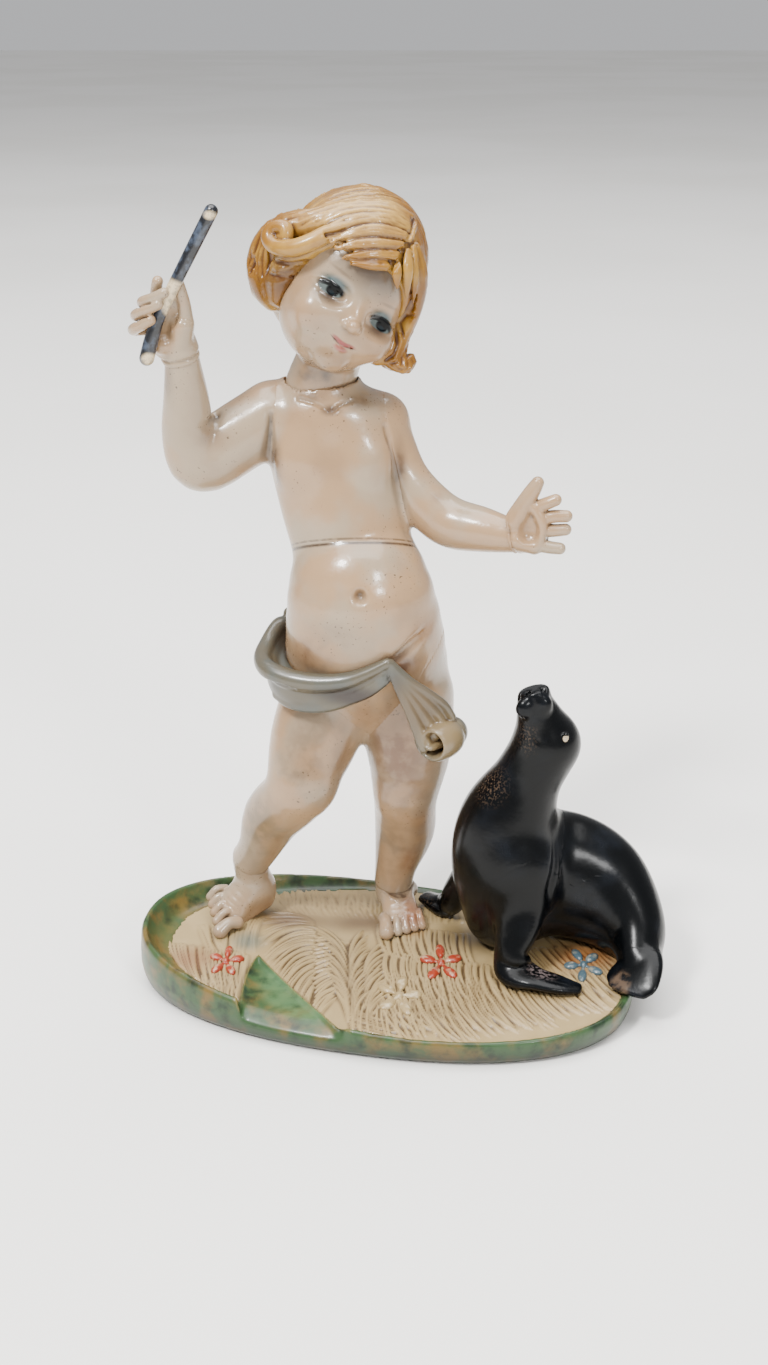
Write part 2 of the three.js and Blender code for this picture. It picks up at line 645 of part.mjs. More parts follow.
// The baton lies across the right palm. Its middle is given from the wrist
const batonWay = v(0.42, -0.06, 0.9).normalize();
const batonMiddle = rightWrist.clone().add(v(-1.4, -5.6, 9.4));
const batonLow = batonMiddle.clone().addScaledVector(batonWay, -BATON_LENGTH * 0.31);
const batonHigh = batonMiddle.clone().addScaledVector(batonWay, BATON_LENGTH * 0.69);

function batonBody(grow = 0) {
  return limb(
    [
      [batonLow, BATON_RADIUS * 1.25],
      [batonLow.clone().lerp(batonHigh, 0.5), BATON_RADIUS],
      [batonHigh, BATON_RADIUS * 1.1],
    ],
    { sides: 10, steps: 3, grow },
  );
}

function rightHandPiece() {
  const palm = rightWrist.clone().addScaledVector(rightHandWay, PALM_LENGTH * 0.52).add(v(0, 1, 0));
  const side = v(-1, 0, 0.1);
  const out = v(0, -1, 0);
  const place = (across, towards, up) => {
    const at = palm.clone().addScaledVector(rightHandWay, up);
    return at.addScaledVector(side, across).addScaledVector(out, towards);
  };
  const heel = limb(
    [
      [rightWrist.clone().addScaledVector(rightHandWay, -1.5), WRIST_RADIUS, WRIST_RADIUS * 0.95],
      [place(0, 0.4, -2), PALM_WIDTH * 0.46, 3],
      [place(0.6, -0.4, 3.6), PALM_WIDTH * 0.44, 2.2],
    ],
    { sides: 11, steps: 2 },
  );
  const fingers = Array.from({ length: 3 }, (_, i) => {
    const up = 5.4 - i * 2.5;
    const spread = i * 0.9;
    return finger([
      place(2.4 + spread * 0.4, -1.2, up - 0.4),
      place(5 + spread * 0.5, 0.6, up),
      place(5 + spread * 0.6, 3.8, up + 0.3),
      place(1.6 + spread, 5.6, up + 0.9),
    ]);
  });
  const index = finger([place(2.2, -0.6, 5), place(3.4, 0.4, 8.4), place(3.2, 1.2, 11.4)]);
  const thumb = finger([place(-2.8, 1, 0), place(-4, 2.6, 4.6), place(-3, 3.4, 9.6)], FINGER_RADIUS * 1.25);
  const thenar = ball(place(-2.4, 2.2, -1), [2.7, 2.4, 3.4], { around: 10, down: 7 });
  const whole = join(heel, ...fingers, index, thumb, thenar);
  const piece = beyond(whole, rightWrist, rightHandWay);
  return largest(cut(join(piece, rightHandPeg.pin), batonBody(SEAM)));
}

function leftHandPiece() {
  const palm = leftWrist.clone().addScaledVector(leftHandWay, PALM_LENGTH * 0.5);
  const up = v(-0.2, 0.1, 1).normalize();
  const out = v(0.2, -1, 0.25).normalize();
  const place = (along, rise, towards) =>
    palm.clone().addScaledVector(leftHandWay, along).addScaledVector(up, rise).addScaledVector(out, towards);
  const heel = limb(
    [
      [leftWrist.clone().addScaledVector(leftHandWay, -1.5), WRIST_RADIUS, WRIST_RADIUS * 0.95],
      [place(-1, 0, 0), PALM_WIDTH * 0.46, 2.4],
      [place(3, 0.2, 0), PALM_WIDTH * 0.46, 1.7],
    ],
    { sides: 11, steps: 2 },
  );
  const tips = [
    [2.6, 6.6, 4.4],
    [1, 8.8, 1.8],
    [-0.8, 8.8, -0.6],
    [-2.8, 7.4, -3.8],
  ];
  const fingers = tips.map(([root, along, rise]) => {
    const middle = place((2 + along) / 2 + 0.6, (root + rise) / 2, 0.7);
    return finger([place(2, root, 0), middle, place(along, rise, 0.9)]);
  });
  const thumbLine = [place(-2.4, 2.6, 0.6), place(-0.2, 5, 1.4), place(3.2, 9.4, 1.6)];
  const thumb = finger(thumbLine, FINGER_RADIUS * 1.25);
  const thenar = ball(place(-2, 2, 1), [3, 2.2, 2.4], { around: 10, down: 7 });
  const piece = beyond(join(heel, ...fingers, thumb, thenar), leftWrist, leftHandWay);
  return largest(join(piece, leftHandPeg.pin));
}

// Head and hair, in the head's own frame: -Y is where the face looks

const headFrame = new THREE.Matrix4()
  .makeRotationY(degrees(HEAD_ROLL))
  .multiply(new THREE.Matrix4().makeRotationZ(degrees(HEAD_YAW)))
  .multiply(new THREE.Matrix4().makeRotationX(degrees(-HEAD_PITCH)))
  .setPosition(head);
const onHead = (x, y, z) => v(x, y, z).applyMatrix4(headFrame);
const headTurn = new THREE.Matrix4().extractRotation(headFrame);
const headWay = (x, y, z) => v(x, y, z).applyMatrix4(headTurn);

function skull(grow = 0) {
  const crown = ball(onHead(0, 1.5, 2.5), [HEAD_WIDTH / 2, HEAD_DEPTH / 2, HEAD_HEIGHT * 0.46], {
    turn: headTurn,
    around: 16,
    down: 10,
    grow,
  });
  const jaw = ball(onHead(0, -3, -5.2), [HEAD_WIDTH * 0.41, HEAD_DEPTH * 0.37, HEAD_HEIGHT * 0.33], {
    turn: headTurn,
    around: 14,
    down: 8,
    grow,
  });
  return join(crown, jaw);
}

function face() {
  const cheeks = [-1, 1].map((side) =>
    ball(onHead(side * 5.4, -8.4, -4.6), [4.2, 3.6, 4], { turn: headTurn, around: 10, down: 8 }),
  );
  const chin = ball(onHead(0, -9.2, -11), [3, 2.6, 2.6], { turn: headTurn, around: 10, down: 7 });
  const nose = ball(onHead(0, -12.6, -3), [1.5, 1.7, 1.4], { turn: headTurn, around: 10, down: 7 });
  return join(...cheeks, chin, nose);
}

function headPiece() {
  const piece = beyond(join(skull(), face(), neckBody()), neck, neckWay);
  return largest(join(piece, neckPeg.pin));
}

/** A lock of hair through points of the head's frame. */
function lock(stations, out) {
  return limb(
    stations.map(([at, wide, deep]) => [onHead(...at), wide, deep]),
    { out: headWay(...out), sides: 8, steps: 2 },
  );
}

function hairPiece() {
  const capSize = [HEAD_WIDTH / 2, HEAD_DEPTH / 2, HEAD_HEIGHT * 0.46].map((half) => half + HAIR_THICK);
  const cap = ball(onHead(0.2, 2.6, 3.4), capSize, {
    turn: headTurn,
    around: 18,
    down: 12,
  });
  const nape = ball(onHead(0, 5.4, -5), [HEAD_WIDTH * 0.5, HEAD_DEPTH * 0.4, HEAD_HEIGHT * 0.34], {
    turn: headTurn,
    around: 14,
    down: 8,
  });
  const opening = limb(
    [
      [onHead(0.4, -14, 0.4), 11, 8.6],
      [onHead(0, -14, -9), 10.2, 9],
      [onHead(0, -14, -22), 11, 10],
    ],
    { out: headWay(0, -1, 0), sides: 12, steps: 1 },
  );
  const fringe = lock(
    [
      [[8.6, -9.6, 9], 3, 2],
      [[3.4, -12.6, 7.6], 3.2, 1.9],
      [[-4.4, -12.4, 8], 3, 1.9],
      [[-10.4, -8, 7.4], 3, 2.2],
    ],
    [0, -1, 0.3],
  );
  const rightRoll = lock(
    [
      [[-9.4, -6.4, 9.6], 3, 2.8],
      [[-14, -6, 6.6], 3.8, 3.4],
      [[-16.2, -5, 1.4], 4.6, 4],
      [[-15, -2.4, -4.4], 3.6, 3.4],
    ],
    [0, -1, 0],
  );
  const rightCurl = lock(
    [
      [[-10.6, -8.6, 8.4], 2.2, 2],
      [[-14.6, -9.4, 6], 2.4, 2.2],
      [[-12.6, -9.8, 2.8], 1.8, 1.8],
    ],
    [0, -1, 0],
  );
  const leftFall = lock(
    [
      [[10.4, -6.6, 8], 2.8, 3.6],
      [[13.4, -4.4, 2], 2.6, 4.8],
      [[12.8, -3.4, -4], 2.6, 4.8],
      [[13.6, -3, -8.4], 2.8, 4.4],
      [[16.4, -3, -9.6], 2, 3.4],
    ],
    [0, -1, 0],
  );
  const whole = join(cut(join(cap, nape), opening), fringe, rightRoll, rightCurl, leftFall);
  return largest(cut(whole, skull(SEAM), face(), neckBody()));
}

// Drape: a strip of cloth from behind the left hip, round the back and the right hip, to a fold at
// the front, from which its end hangs down and rolls up

function drapePiece() {
  const round = (angle, wide, deep, rise) =>
    pelvis.clone().add(v(Math.cos(degrees(angle)) * wide, Math.sin(degrees(angle)) * deep, rise));
  const [wide, deep] = [PELVIS_WIDTH / 2, PELVIS_DEPTH / 2];
  const stops = [
    [round(28, wide + 0.5, deep + 2, 6), 0.3],
    [round(70, wide + 1, deep + 4, 5), 0.42],
    [round(115, wide + 1, deep + 4.6, 4), 0.5],
    [round(152, wide + 2, deep + 3, 4), 0.5],
    [round(185, wide + 4.6, deep + 2.5, 3), 0.52],
    [round(215, wide + 3.2, deep + 3.4, -1), 0.52],
    [round(242, wide + 1.5, deep + 3.6, -3), 0.46],
    [round(268, wide, deep + 3.6, -0.5), 0.36],
    [round(289, wide, deep + 4, 3.6), 0.24],
  ];
  const outs = stops.map(([at]) => at.clone().sub(pelvis).setZ(3).normalize());
  const strip = limb(
    stops.map(([at, share]) => [at, DRAPE_WIDTH * share, DRAPE_THICK / 2]),
    { outs, sides: 9, steps: 2 },
  );
  const fold = stops.at(-1)[0];
  const scroll = fold.clone().add(v(13.4, 1, -17));
  const tail = limb(
    [
      [fold.clone().add(v(-1.5, 0, -0.5)), DRAPE_WIDTH * 0.2, DRAPE_THICK * 0.5],
      [fold.clone().lerp(scroll, 0.3), DRAPE_WIDTH * 0.3, DRAPE_THICK * 0.5],
      [fold.clone().lerp(scroll, 0.62).add(v(-0.6, 0, 0)), DRAPE_WIDTH * 0.5, DRAPE_THICK * 0.5],
      [fold.clone().lerp(scroll, 0.85).add(v(-2, 0.5, -0.5)), DRAPE_WIDTH * 0.5, DRAPE_THICK * 0.5],
    ],
    { out: v(0.1, -1, 0.2), sides: 10, steps: 2 },
  );
  const cloth = join(strip, tail, scrollEnd(scroll));
  return largest(cut(cloth, pelvisBody(SEAM), legBody('left', SEAM), legBody('right', SEAM)));
}

/** The rolled end of the cloth: one and a half turns of a spiral, seen from its end. */
function scrollEnd(at) {
  const turns = 1.45;
  const steps = 18;
  const edge = (inward) =>
    Array.from({ length: steps + 1 }, (_, i) => {
      const share = i / steps;
      const radius = SCROLL_RADIUS * (1 - 0.62 * share) - inward;
      const angle = degrees(150) + share * turns * 2 * Math.PI;
      return new THREE.Vector2(Math.cos(angle) * radius, Math.sin(angle) * radius);
    });
  const shape = new THREE.Shape([...edge(0), ...edge(1.35).toReversed()]);
  const roll = new THREE.ExtrudeGeometry(shape, { depth: SCROLL_LENGTH, bevelEnabled: false });
  roll.rotateX(Math.PI / 2).rotateZ(degrees(-14));
  return solid(roll.translate(at.x, at.y + SCROLL_LENGTH * 0.55, at.z));
}

// Seal, facing left with its muzzle up. Its heights follow SEAL_HEIGHT

const sealScale = SEAL_HEIGHT / 62;
const onSeal = (x, y, rise) => v(x + 1.4 + SEAL_SHIFT, y, grassHeight(y) + rise * sealScale);

function sealFrontBody(grow = 0) {
  return limb(
    [
      [onSeal(25, 6, 8), SEAL_CHEST_RADIUS * 0.8, SEAL_CHEST_RADIUS * 0.8],
      [onSeal(24.6, 5, 21), SEAL_CHEST_RADIUS, SEAL_CHEST_RADIUS],
      [onSeal(25.2, 4.5, 31), SEAL_CHEST_RADIUS * 0.92, SEAL_CHEST_RADIUS * 0.9],
      [onSeal(28.6, 3.8, 40), SEAL_NECK_RADIUS, SEAL_NECK_RADIUS],
      [onSeal(32.8, 3, 49), SEAL_HEAD_RADIUS, SEAL_HEAD_RADIUS],
      [onSeal(32.4, 2, 55), SEAL_HEAD_RADIUS * 0.72, SEAL_HEAD_RADIUS * 0.72],
      [onSeal(31, 1.2, 59.5), SEAL_MUZZLE_RADIUS, SEAL_MUZZLE_RADIUS],
    ],
    { sides: 16, steps: 2, grow },
  );
}

function sealRearBody(grow = 0) {
  return limb(
    [
      [onSeal(28, 7, 15), SEAL_RUMP_RADIUS * 0.9, SEAL_RUMP_RADIUS * 1.3],
      [onSeal(37.6, 8.6, 14.6), SEAL_RUMP_RADIUS * 0.98, SEAL_RUMP_RADIUS * 1.32],
      [onSeal(46.6, 6.6, 11), SEAL_RUMP_RADIUS * 0.9, SEAL_RUMP_RADIUS * 1.16],
      [onSeal(52.2, -0.6, 6.8), SEAL_RUMP_RADIUS * 0.62, SEAL_RUMP_RADIUS * 0.74],
      [onSeal(52.4, -8.5, 4.6), SEAL_TAIL_RADIUS, SEAL_TAIL_RADIUS],
    ],
    { sides: 14, steps: 2, out: v(0, 0, 1), grow },
  );
}

const sealSeam = { at: onSeal(34.5, 8, 20), way: v(0.97, 0.05, -0.22) };
const sealPeg = peg(sealSeam.at.clone().add(v(0, 0, -2)), sealSeam.way.clone().negate(), PEG_LARGE);
const sealFoot = peg(onSeal(26, 6, 0), v(0, 0, -1), PEG_MEDIUM, 4);
const nearShoulder = { at: onSeal(27, -3.4, 17), way: v(0.2, -0.9, -0.3) };
const farShoulder = { at: onSeal(17.4, 11.4, 15), way: v(-0.72, 0.62, -0.3) };
const nearPeg = peg(nearShoulder.at, nearShoulder.way.clone().negate(), PEG_MEDIUM, PEG_LENGTH * 0.7);
const farPeg = peg(farShoulder.at, farShoulder.way.clone().negate(), PEG_SMALL, PEG_LENGTH * 0.7);
const flukeSeam = { at: onSeal(53.4, -9.6, 4.6), way: v(-0.2, -1, -0.1) };
const flukePeg = peg(flukeSeam.at, flukeSeam.way.clone().negate(), PEG_SMALL, PEG_LENGTH * 0.7);

function sealFrontPiece() {
  const whole = join(sealFrontBody(), sealRearBody());
  let piece = beyond(whole, sealSeam.at, sealSeam.way.clone().negate());
  piece = beyond(piece, nearShoulder.at, nearShoulder.way.clone().negate());
  piece = beyond(piece, farShoulder.at, farShoulder.way.clone().negate());
  piece = cut(piece, baseSpace());
  return largest(cut(join(piece, sealFoot.pin), sealPeg.socket, nearPeg.socket, farPeg.socket));
}

function sealRearPiece() {
  let piece = beyond(join(sealRearBody(), sealFrontBody()), sealSeam.at, sealSeam.way);
  piece = beyond(piece, v(0, 0, sealSeam.at.z + 22), v(0, 0, -1));
  piece = beyond(piece, flukeSeam.at, flukeSeam.way.clone().negate());
  return largest(cut(join(cut(piece, baseSpace()), sealPeg.pin), flukePeg.socket));
}

function nearFlipperPiece() {
  const outs = [v(0, -1, 0), v(-0.4, -1, 0), v(-0.8, -0.4, 0.6), v(0, 0.2, 1), v(0, 0.2, 1)];
  const arm = limb(
    [
      [onSeal(28.4, 0, 19), 5.6, 4.6],
      [onSeal(26.6, -6, 11), 4.6, 3.4],
      [onSeal(24.6, -9.4, 4.2), 3.6, 2.8],
      [onSeal(29, -12.6, 2), 3.4, 1.9],
      [onSeal(38.4, -15.4, 1), 2.4, 1.3],
    ],
    { sides: 10, steps: 2, outs },
  );
  const piece = beyond(arm, nearShoulder.at, nearShoulder.way);
  return largest(join(cut(piece, baseSpace()), nearPeg.pin));
}

function farFlipperPiece() {
  const arm = limb(
    [
      [onSeal(19.4, 9.6, 17), 4.4, 4],
      [onSeal(15.2, 13.4, 8), 3.4, 3],
      [onSeal(13.6, 15.4, 3.2), 2.8, 2.4],
      [onSeal(10.4, 17, 1.8), 3, 1.7],
    ],
    { sides: 10, steps: 2 },
  );
  const piece = beyond(arm, farShoulder.at, farShoulder.way);
  return largest(join(cut(piece, baseSpace()), farPeg.pin));
}

function tailFlukePiece() {
  const fluke = limb(
    [
      [onSeal(53.6, -7, 5), 3.6, 3.6],
      [onSeal(52.4, -12, 4.2), 4, 2.4],
      [onSeal(49, -15.6, 2.6), 5, 1.5],
    ],
    { sides: 10, steps: 2, outs: [v(0.6, -0.5, 0.6), v(0.4, -0.7, 0.6), v(0.2, -0.7, 0.7)] },
  );
  const piece = beyond(fluke, flukeSeam.at, flukeSeam.way);
  return largest(join(cut(piece, baseSpace()), flukePeg.pin));
}

// Materials

const plastic = (color, roughness) => new THREE.MeshStandardMaterial({ color, roughness, metalness: 0 });
const ivory = plastic(0xcdb89c, 0.32);
const hairOchre = plastic(0xcf9f5a, 0.38);
const sealBlack = plastic(0x17181c, 0.22);
const grassIvory = plastic(0xb79f7d, 0.5);
const leafGreen = plastic(0x4a6a45, 0.45);
const clothIvory = plastic(0xb8ab94, 0.35);
const batonBlack = plastic(0x24262c, 0.4);
const petalRed = plastic(0xc4604a, 0.4);
const petalIvory = plastic(0xc2ab86, 0.45);
const petalBlue = plastic(0x77827f, 0.4);
const steel = new THREE.MeshStandardMaterial({ color: 0x9a9a98, roughness: 0.35, metalness: 1 });

// Assembly

const putto = new THREE.Group();

/** A named mesh of a finished solid. */
function place(name, made, material) {
  const { vertProperties, triVerts, numProp } = made.getMesh();
  const points = new Float32Array((vertProperties.length / numProp) * 3);
  for (let i = 0; i < points.length / 3; i++) {
    points.set(vertProperties.subarray(i * numProp, i * numProp + 3), i * 3);
  }
  const geometry = new THREE.BufferGeometry();
  geometry.setAttribute('position', new THREE.BufferAttribute(points, 3));
  geometry.setIndex(new THREE.BufferAttribute(new Uint32Array(triVerts), 1));
  geometry.computeVertexNormals();
  const mesh = new THREE.Mesh(geometry, material);
  mesh.name = name;
  putto.add(mesh);
}

place('base_tray', join(baseTray(), leaf()), leafGreen);
place(
  'grass_ground',
  largest(cut(grassGround(), leaf(SEAM), pinHole('left'), pinHole('right'), sealFoot.socket)),
  grassIvory,
);
for (const [name, at] of Object.entries(FLOWERS)) {
  const paint = name.includes('red') ? petalRed : name.includes('blue') ? petalBlue : petalIvory;
  place(name, flower(at), paint);
}
place('pelvis', pelvisPiece(), ivory);
place('chest', chestPiece(), ivory);
for (const side of ['left', 'right']) {
  place(`${side}_leg`, legPiece(side), ivory);
  place(`${side}_foot`, footPiece(side), ivory);
  place(`${side}_leg_pin`, pin(side), steel);
  place(`${side}_arm`, armPiece(side), ivory);
}
place('right_hand', rightHandPiece(), ivory);
place('left_hand', leftHandPiece(), ivory);
place('baton', batonBody(), batonBlack);
place('head', headPiece(), ivory);
place('hair', hairPiece(), hairOchre);
place('drape', drapePiece(), clothIvory);
place('seal_front', sealFrontPiece(), sealBlack);
place('seal_rear', sealRearPiece(), sealBlack);
place('seal_near_flipper', nearFlipperPiece(), sealBlack);
place('seal_far_flipper', farFlipperPiece(), sealBlack);
place('seal_tail_fluke', tailFlukePiece(), sealBlack);

export default putto;
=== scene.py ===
"""Dresses a moulded figurine: a child with a baton and a seal on a leaf-rimmed base.

Each form is modelled in millimetres as signed distances in a block of voxels, like clay on a
turntable. The clay is cut at the seams of the assembly and its skin becomes the piece's mesh.
Left and right are the child's own.
"""

import itertools
import math

import bpy
import numpy as np
from mathutils import Euler, Matrix, Vector


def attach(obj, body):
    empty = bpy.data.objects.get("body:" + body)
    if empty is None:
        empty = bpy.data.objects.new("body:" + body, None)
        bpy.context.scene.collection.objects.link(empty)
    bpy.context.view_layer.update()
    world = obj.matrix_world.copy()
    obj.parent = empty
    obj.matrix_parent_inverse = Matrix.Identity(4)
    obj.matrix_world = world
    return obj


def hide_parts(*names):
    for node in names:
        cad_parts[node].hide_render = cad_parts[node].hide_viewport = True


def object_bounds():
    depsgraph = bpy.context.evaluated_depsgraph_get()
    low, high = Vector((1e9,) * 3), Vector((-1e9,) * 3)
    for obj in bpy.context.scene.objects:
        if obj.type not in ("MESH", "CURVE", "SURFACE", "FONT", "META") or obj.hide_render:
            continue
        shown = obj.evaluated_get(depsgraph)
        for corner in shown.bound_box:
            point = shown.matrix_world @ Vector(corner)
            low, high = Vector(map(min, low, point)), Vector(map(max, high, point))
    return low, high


bl_info = {
    "name": "Moulded putto with a seal",
    "version": (1, 0, 0),
    "blender": (4, 5, 0),
    "location": "3D View > Sidebar > Putto",
    "description": "Models and paints the pieces of a moulded figurine round its packed frame",
    "category": "Object",
}

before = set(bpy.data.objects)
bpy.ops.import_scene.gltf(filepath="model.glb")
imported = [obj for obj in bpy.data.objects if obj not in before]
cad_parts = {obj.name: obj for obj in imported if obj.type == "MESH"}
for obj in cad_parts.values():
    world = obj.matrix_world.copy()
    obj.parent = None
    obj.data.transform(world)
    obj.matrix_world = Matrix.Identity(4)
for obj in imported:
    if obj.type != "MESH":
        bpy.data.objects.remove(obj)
CAD_BOX = [list(corner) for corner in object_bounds()]

MM = 0.001
FAR = 6.0  # distance that empty clay starts from, in mm
MARGIN = 2.5  # voxels that are worked out beyond a shape, so that its skin is whole
LIP_SINK = 0.03  # how far a lip is sunk under its neighbour, in mm
DIRT_WIDTH = 0.4  # how far the dirt along a seam spreads, in mm
CREASE_GAIN = 1.2  # how strongly the mask of creases tells a hollow from a ridge
PAIR = (0, 1)


def unit(way):
    """A direction, as a vector of length 1."""
    return np.array(way, float) / np.linalg.norm(way)


# Clay: signed distances in a block of voxels, negative inside


def smooth_min(one, other, blend):
    """The lower of two distances, rounded where they are closer than blend."""
    if blend <= 0:
        return np.minimum(one, other)
    share = np.clip(0.5 + 0.5 * (other - one) / blend, 0, 1)
    return other + (one - other) * share - blend * share * (1 - share)


class Clay:
    """A block of voxels between two corners, in mm, in its own frame."""

    def __init__(self, low, high, voxel, place=None):
        self.low = np.array(low, float)
        self.voxel = voxel
        self.count = np.ceil((np.array(high, float) - self.low) / voxel).astype(int) + 1
        self.gap = np.full(self.count, FAR, np.float32)
        self.place = Matrix.Identity(4) if place is None else place

    def axes(self, window=None):
        """The voxels' x, y and z in a window, as three arrays that spread over it."""
        window = window or tuple(slice(0, n) for n in self.count)
        spread = []
        for i, part in enumerate(window):
            line = self.low[i] + self.voxel * np.arange(part.start, part.stop)
            spread.append(line.astype(np.float32).reshape([-1 if j == i else 1 for j in range(3)]))
        return spread

    def window(self, low, high):
        first = np.clip(np.floor((low - self.low) / self.voxel).astype(int), 0, self.count)
        last = np.clip(np.ceil((high - self.low) / self.voxel).astype(int) + 1, 0, self.count)
        return None if (last <= first).any() else tuple(map(slice, first, last))

    def gaps_to(self, shape, reach):
        """The distances to a shape, in the window that it can change."""
        lows = np.min([low for low, _, _ in shape], axis=0)
        highs = np.max([high for _, high, _ in shape], axis=0)
        whole = self.window(lows - reach, highs + reach)
        if whole is None:
            return None, None
        found = np.full([part.stop - part.start for part in whole], FAR, np.float32)
        for low, high, gap in shape:
            window = self.window(low - reach, high + reach)
            if window is None:
                continue
            inner = tuple(slice(w.start - o.start, w.stop - o.start) for w, o in zip(window, whole))
            found[inner] = np.minimum(found[inner], gap(*self.axes(window)))
        return whole, found

    def add(self, shape, blend=0.0):
        window, found = self.gaps_to(shape, blend + MARGIN * self.voxel + 1)
        if window:
            self.gap[window] = smooth_min(self.gap[window], found, blend)

    def carve(self, shape, blend):
        window, found = self.gaps_to(shape, blend + MARGIN * self.voxel)
        if window:
            self.gap[window] = -smooth_min(-self.gap[window], found, blend)

    def cut(self, field, blend):
        """Takes away what lies where a field over the whole block is below nought."""
        field = np.broadcast_to(field, self.gap.shape).astype(np.float32)
        self.gap = -smooth_min(-self.gap, field, blend)

    def keep(self, at, way, blend=0.0, lip=0.0):
        """Keeps what lies past the plane through a point, on the side that way points to.

        With a lip, a little more stays on the other side, sunk under the surface there.
        """
        way = unit(way)
        side = sum(axis * n for axis, n in zip(self.axes(), way)) - float(np.dot(at, way))
        side = side.astype(np.float32)
        if lip:
            self.gap += LIP_SINK * np.clip(0.5 - side / 0.5, 0, 1)
        self.cut(side + lip, blend)

    def crease(self, at, way, reach, depth, width):
        """Presses a line into the surface where a plane crosses it, near a point."""
        at, way = np.array(at, float), unit(way)
        window = self.window(at - reach, at + reach)
        if window is None:
            return
        x, y, z = self.axes(window)
        side = x * way[0] + y * way[1] + z * way[2] - float(at @ way)
        away = ((x - at[0]) ** 2 + (y - at[1]) ** 2 + (z - at[2]) ** 2) / reach**2
        fade = np.clip(1.6 * (1 - away), 0, 1)
        self.gap[window] += (depth * np.exp(-((side / width) ** 2)) * fade).astype(np.float32)

    def rub(self, radius):
        """Rubs the whole form even."""
        self.gap = softened(self.gap, self.voxel, radius, FAR)

    def front(self, x, z):
        """How far forward, towards -Y, the surface stands at a place of this frame."""
        i, k = (int(round((value - self.low[a]) / self.voxel)) for a, value in ((0, x), (2, z)))
        inside = np.nonzero(self.gap[i, :, k] < 0)[0]
        if not len(inside):
            raise RuntimeError(f"no clay stands at {x}, {z}")
        return self.low[1] + self.voxel * inside[0]

    def leaving(self, start, way):
        """Where a line of 28 mm from inside the clay last leaves it."""
        line = np.array(start) + np.arange(0, 28, self.voxel / 2)[:, None] * way
        inside = np.nonzero(self.sample(self.gap, line) < 0)[0]
        return line[inside[-1]] if len(inside) else line[int(len(line) * 0.55)]

    def sample(self, field, points):
        at = (points - self.low) / self.voxel
        base = np.clip(np.floor(at).astype(int), 0, self.count - 2)
        part = np.clip(at - base, 0, 1)
        total = np.zeros(len(points))
        for corner in itertools.product(PAIR, repeat=3):
            weight = np.prod(np.where(corner, part, 1 - part), axis=1)
            total += weight * field[tuple((base + corner).T)]
        return total


def softened(gap, voxel, radius, limit=None):
    """The mean distance round each voxel: below nought in hollows, above it on ridges."""
    half = max(1, round(radius / voxel / 2))
    limit = limit or radius
    field = np.clip(gap, -limit, limit).astype(np.float64)
    for _, axis in itertools.product(PAIR, range(3)):
        edge = [(half + 1, half) if i == axis else (0, 0) for i in range(3)]
        total = np.cumsum(np.pad(field, edge, mode="edge"), axis=axis)
        span = 2 * half + 1
        count = total.shape[axis]
        upper = np.take(total, range(span, count), axis=axis)
        lower = np.take(total, range(count - span), axis=axis)
        field = (upper - lower) / span
    return field.astype(np.float32)


# Shapes: lists of parts, each its two corners and the function of its distance


def ball(centre, radii, turn=None):
    centre = np.array(centre, float)
    radii = np.array([radii] * 3 if np.isscalar(radii) else radii, float)
    turn = np.eye(3) if turn is None else np.array(turn, float)
    reach = np.abs(turn) @ radii

    def gap(x, y, z):
        x, y, z = x - centre[0], y - centre[1], z - centre[2]
        near = far = 0
        for column, radius in zip(turn.T, radii):
            along = x * column[0] + y * column[1] + z * column[2]
            near = near + (along / radius) ** 2
            far = far + (along / radius**2) ** 2
        near = np.sqrt(near)
        return (near * (near - 1) / np.sqrt(far + 1e-9)).astype(np.float32)

    return [(centre - reach, centre + reach, gap)]


def spline(values, steps):
    """A smooth line through rows of numbers, as rows."""
    rows = np.array(values, float)
    if len(rows) == 2:
        share = np.linspace(0, 1, steps + 1)[:, None]
        return rows[0] * (1 - share) + rows[1] * share
    padded = np.vstack([2 * rows[0] - rows[1], rows, 2 * rows[-1] - rows[-2]])
    line = []
    for i in range(len(rows) - 1):
        a, b, c, d = padded[i : i + 4]
        for t in np.linspace(0, 1, steps, endpoint=False):
            line.append(
                0.5 * (2 * b + (c - a) * t + (2 * a - 5 * b + 4 * c - d) * t**2)
                + 0.5 * (3 * b - a - 3 * c + d) * t**3
            )
    return np.array([*line, rows[-1]])


def tube(stations, steps=4, out=(0, -1, 0)):
    """A tapering body through stations of centre, half width and half depth, measured along out."""
    rows = []
    for station in stations:
        at, wide, *rest = station
        deep = rest[0] if rest else wide
        facing = rest[1] if len(rest) > 1 else out
        rows.append([*at, wide, deep, *facing])
    line = spline(rows, steps)
    parts = []
    for start, end in itertools.pairwise(line):
        a, b = start[:3], end[:3]
        length = np.linalg.norm(b - a)
        if length < 1e-6:
            continue
        along = (b - a) / length
        deepway = (start[5:] + end[5:]) / 2
        deepway = deepway - along * (deepway @ along)
        deepway /= np.linalg.norm(deepway)
        wideway = np.cross(along, deepway)
        size = max(*start[3:5], *end[3:5])
        gap = segment_gap(a, along, length, wideway, deepway, start[3:5], end[3:5])
        parts.append((np.minimum(a, b) - size, np.maximum(a, b) + size, gap))
    return parts


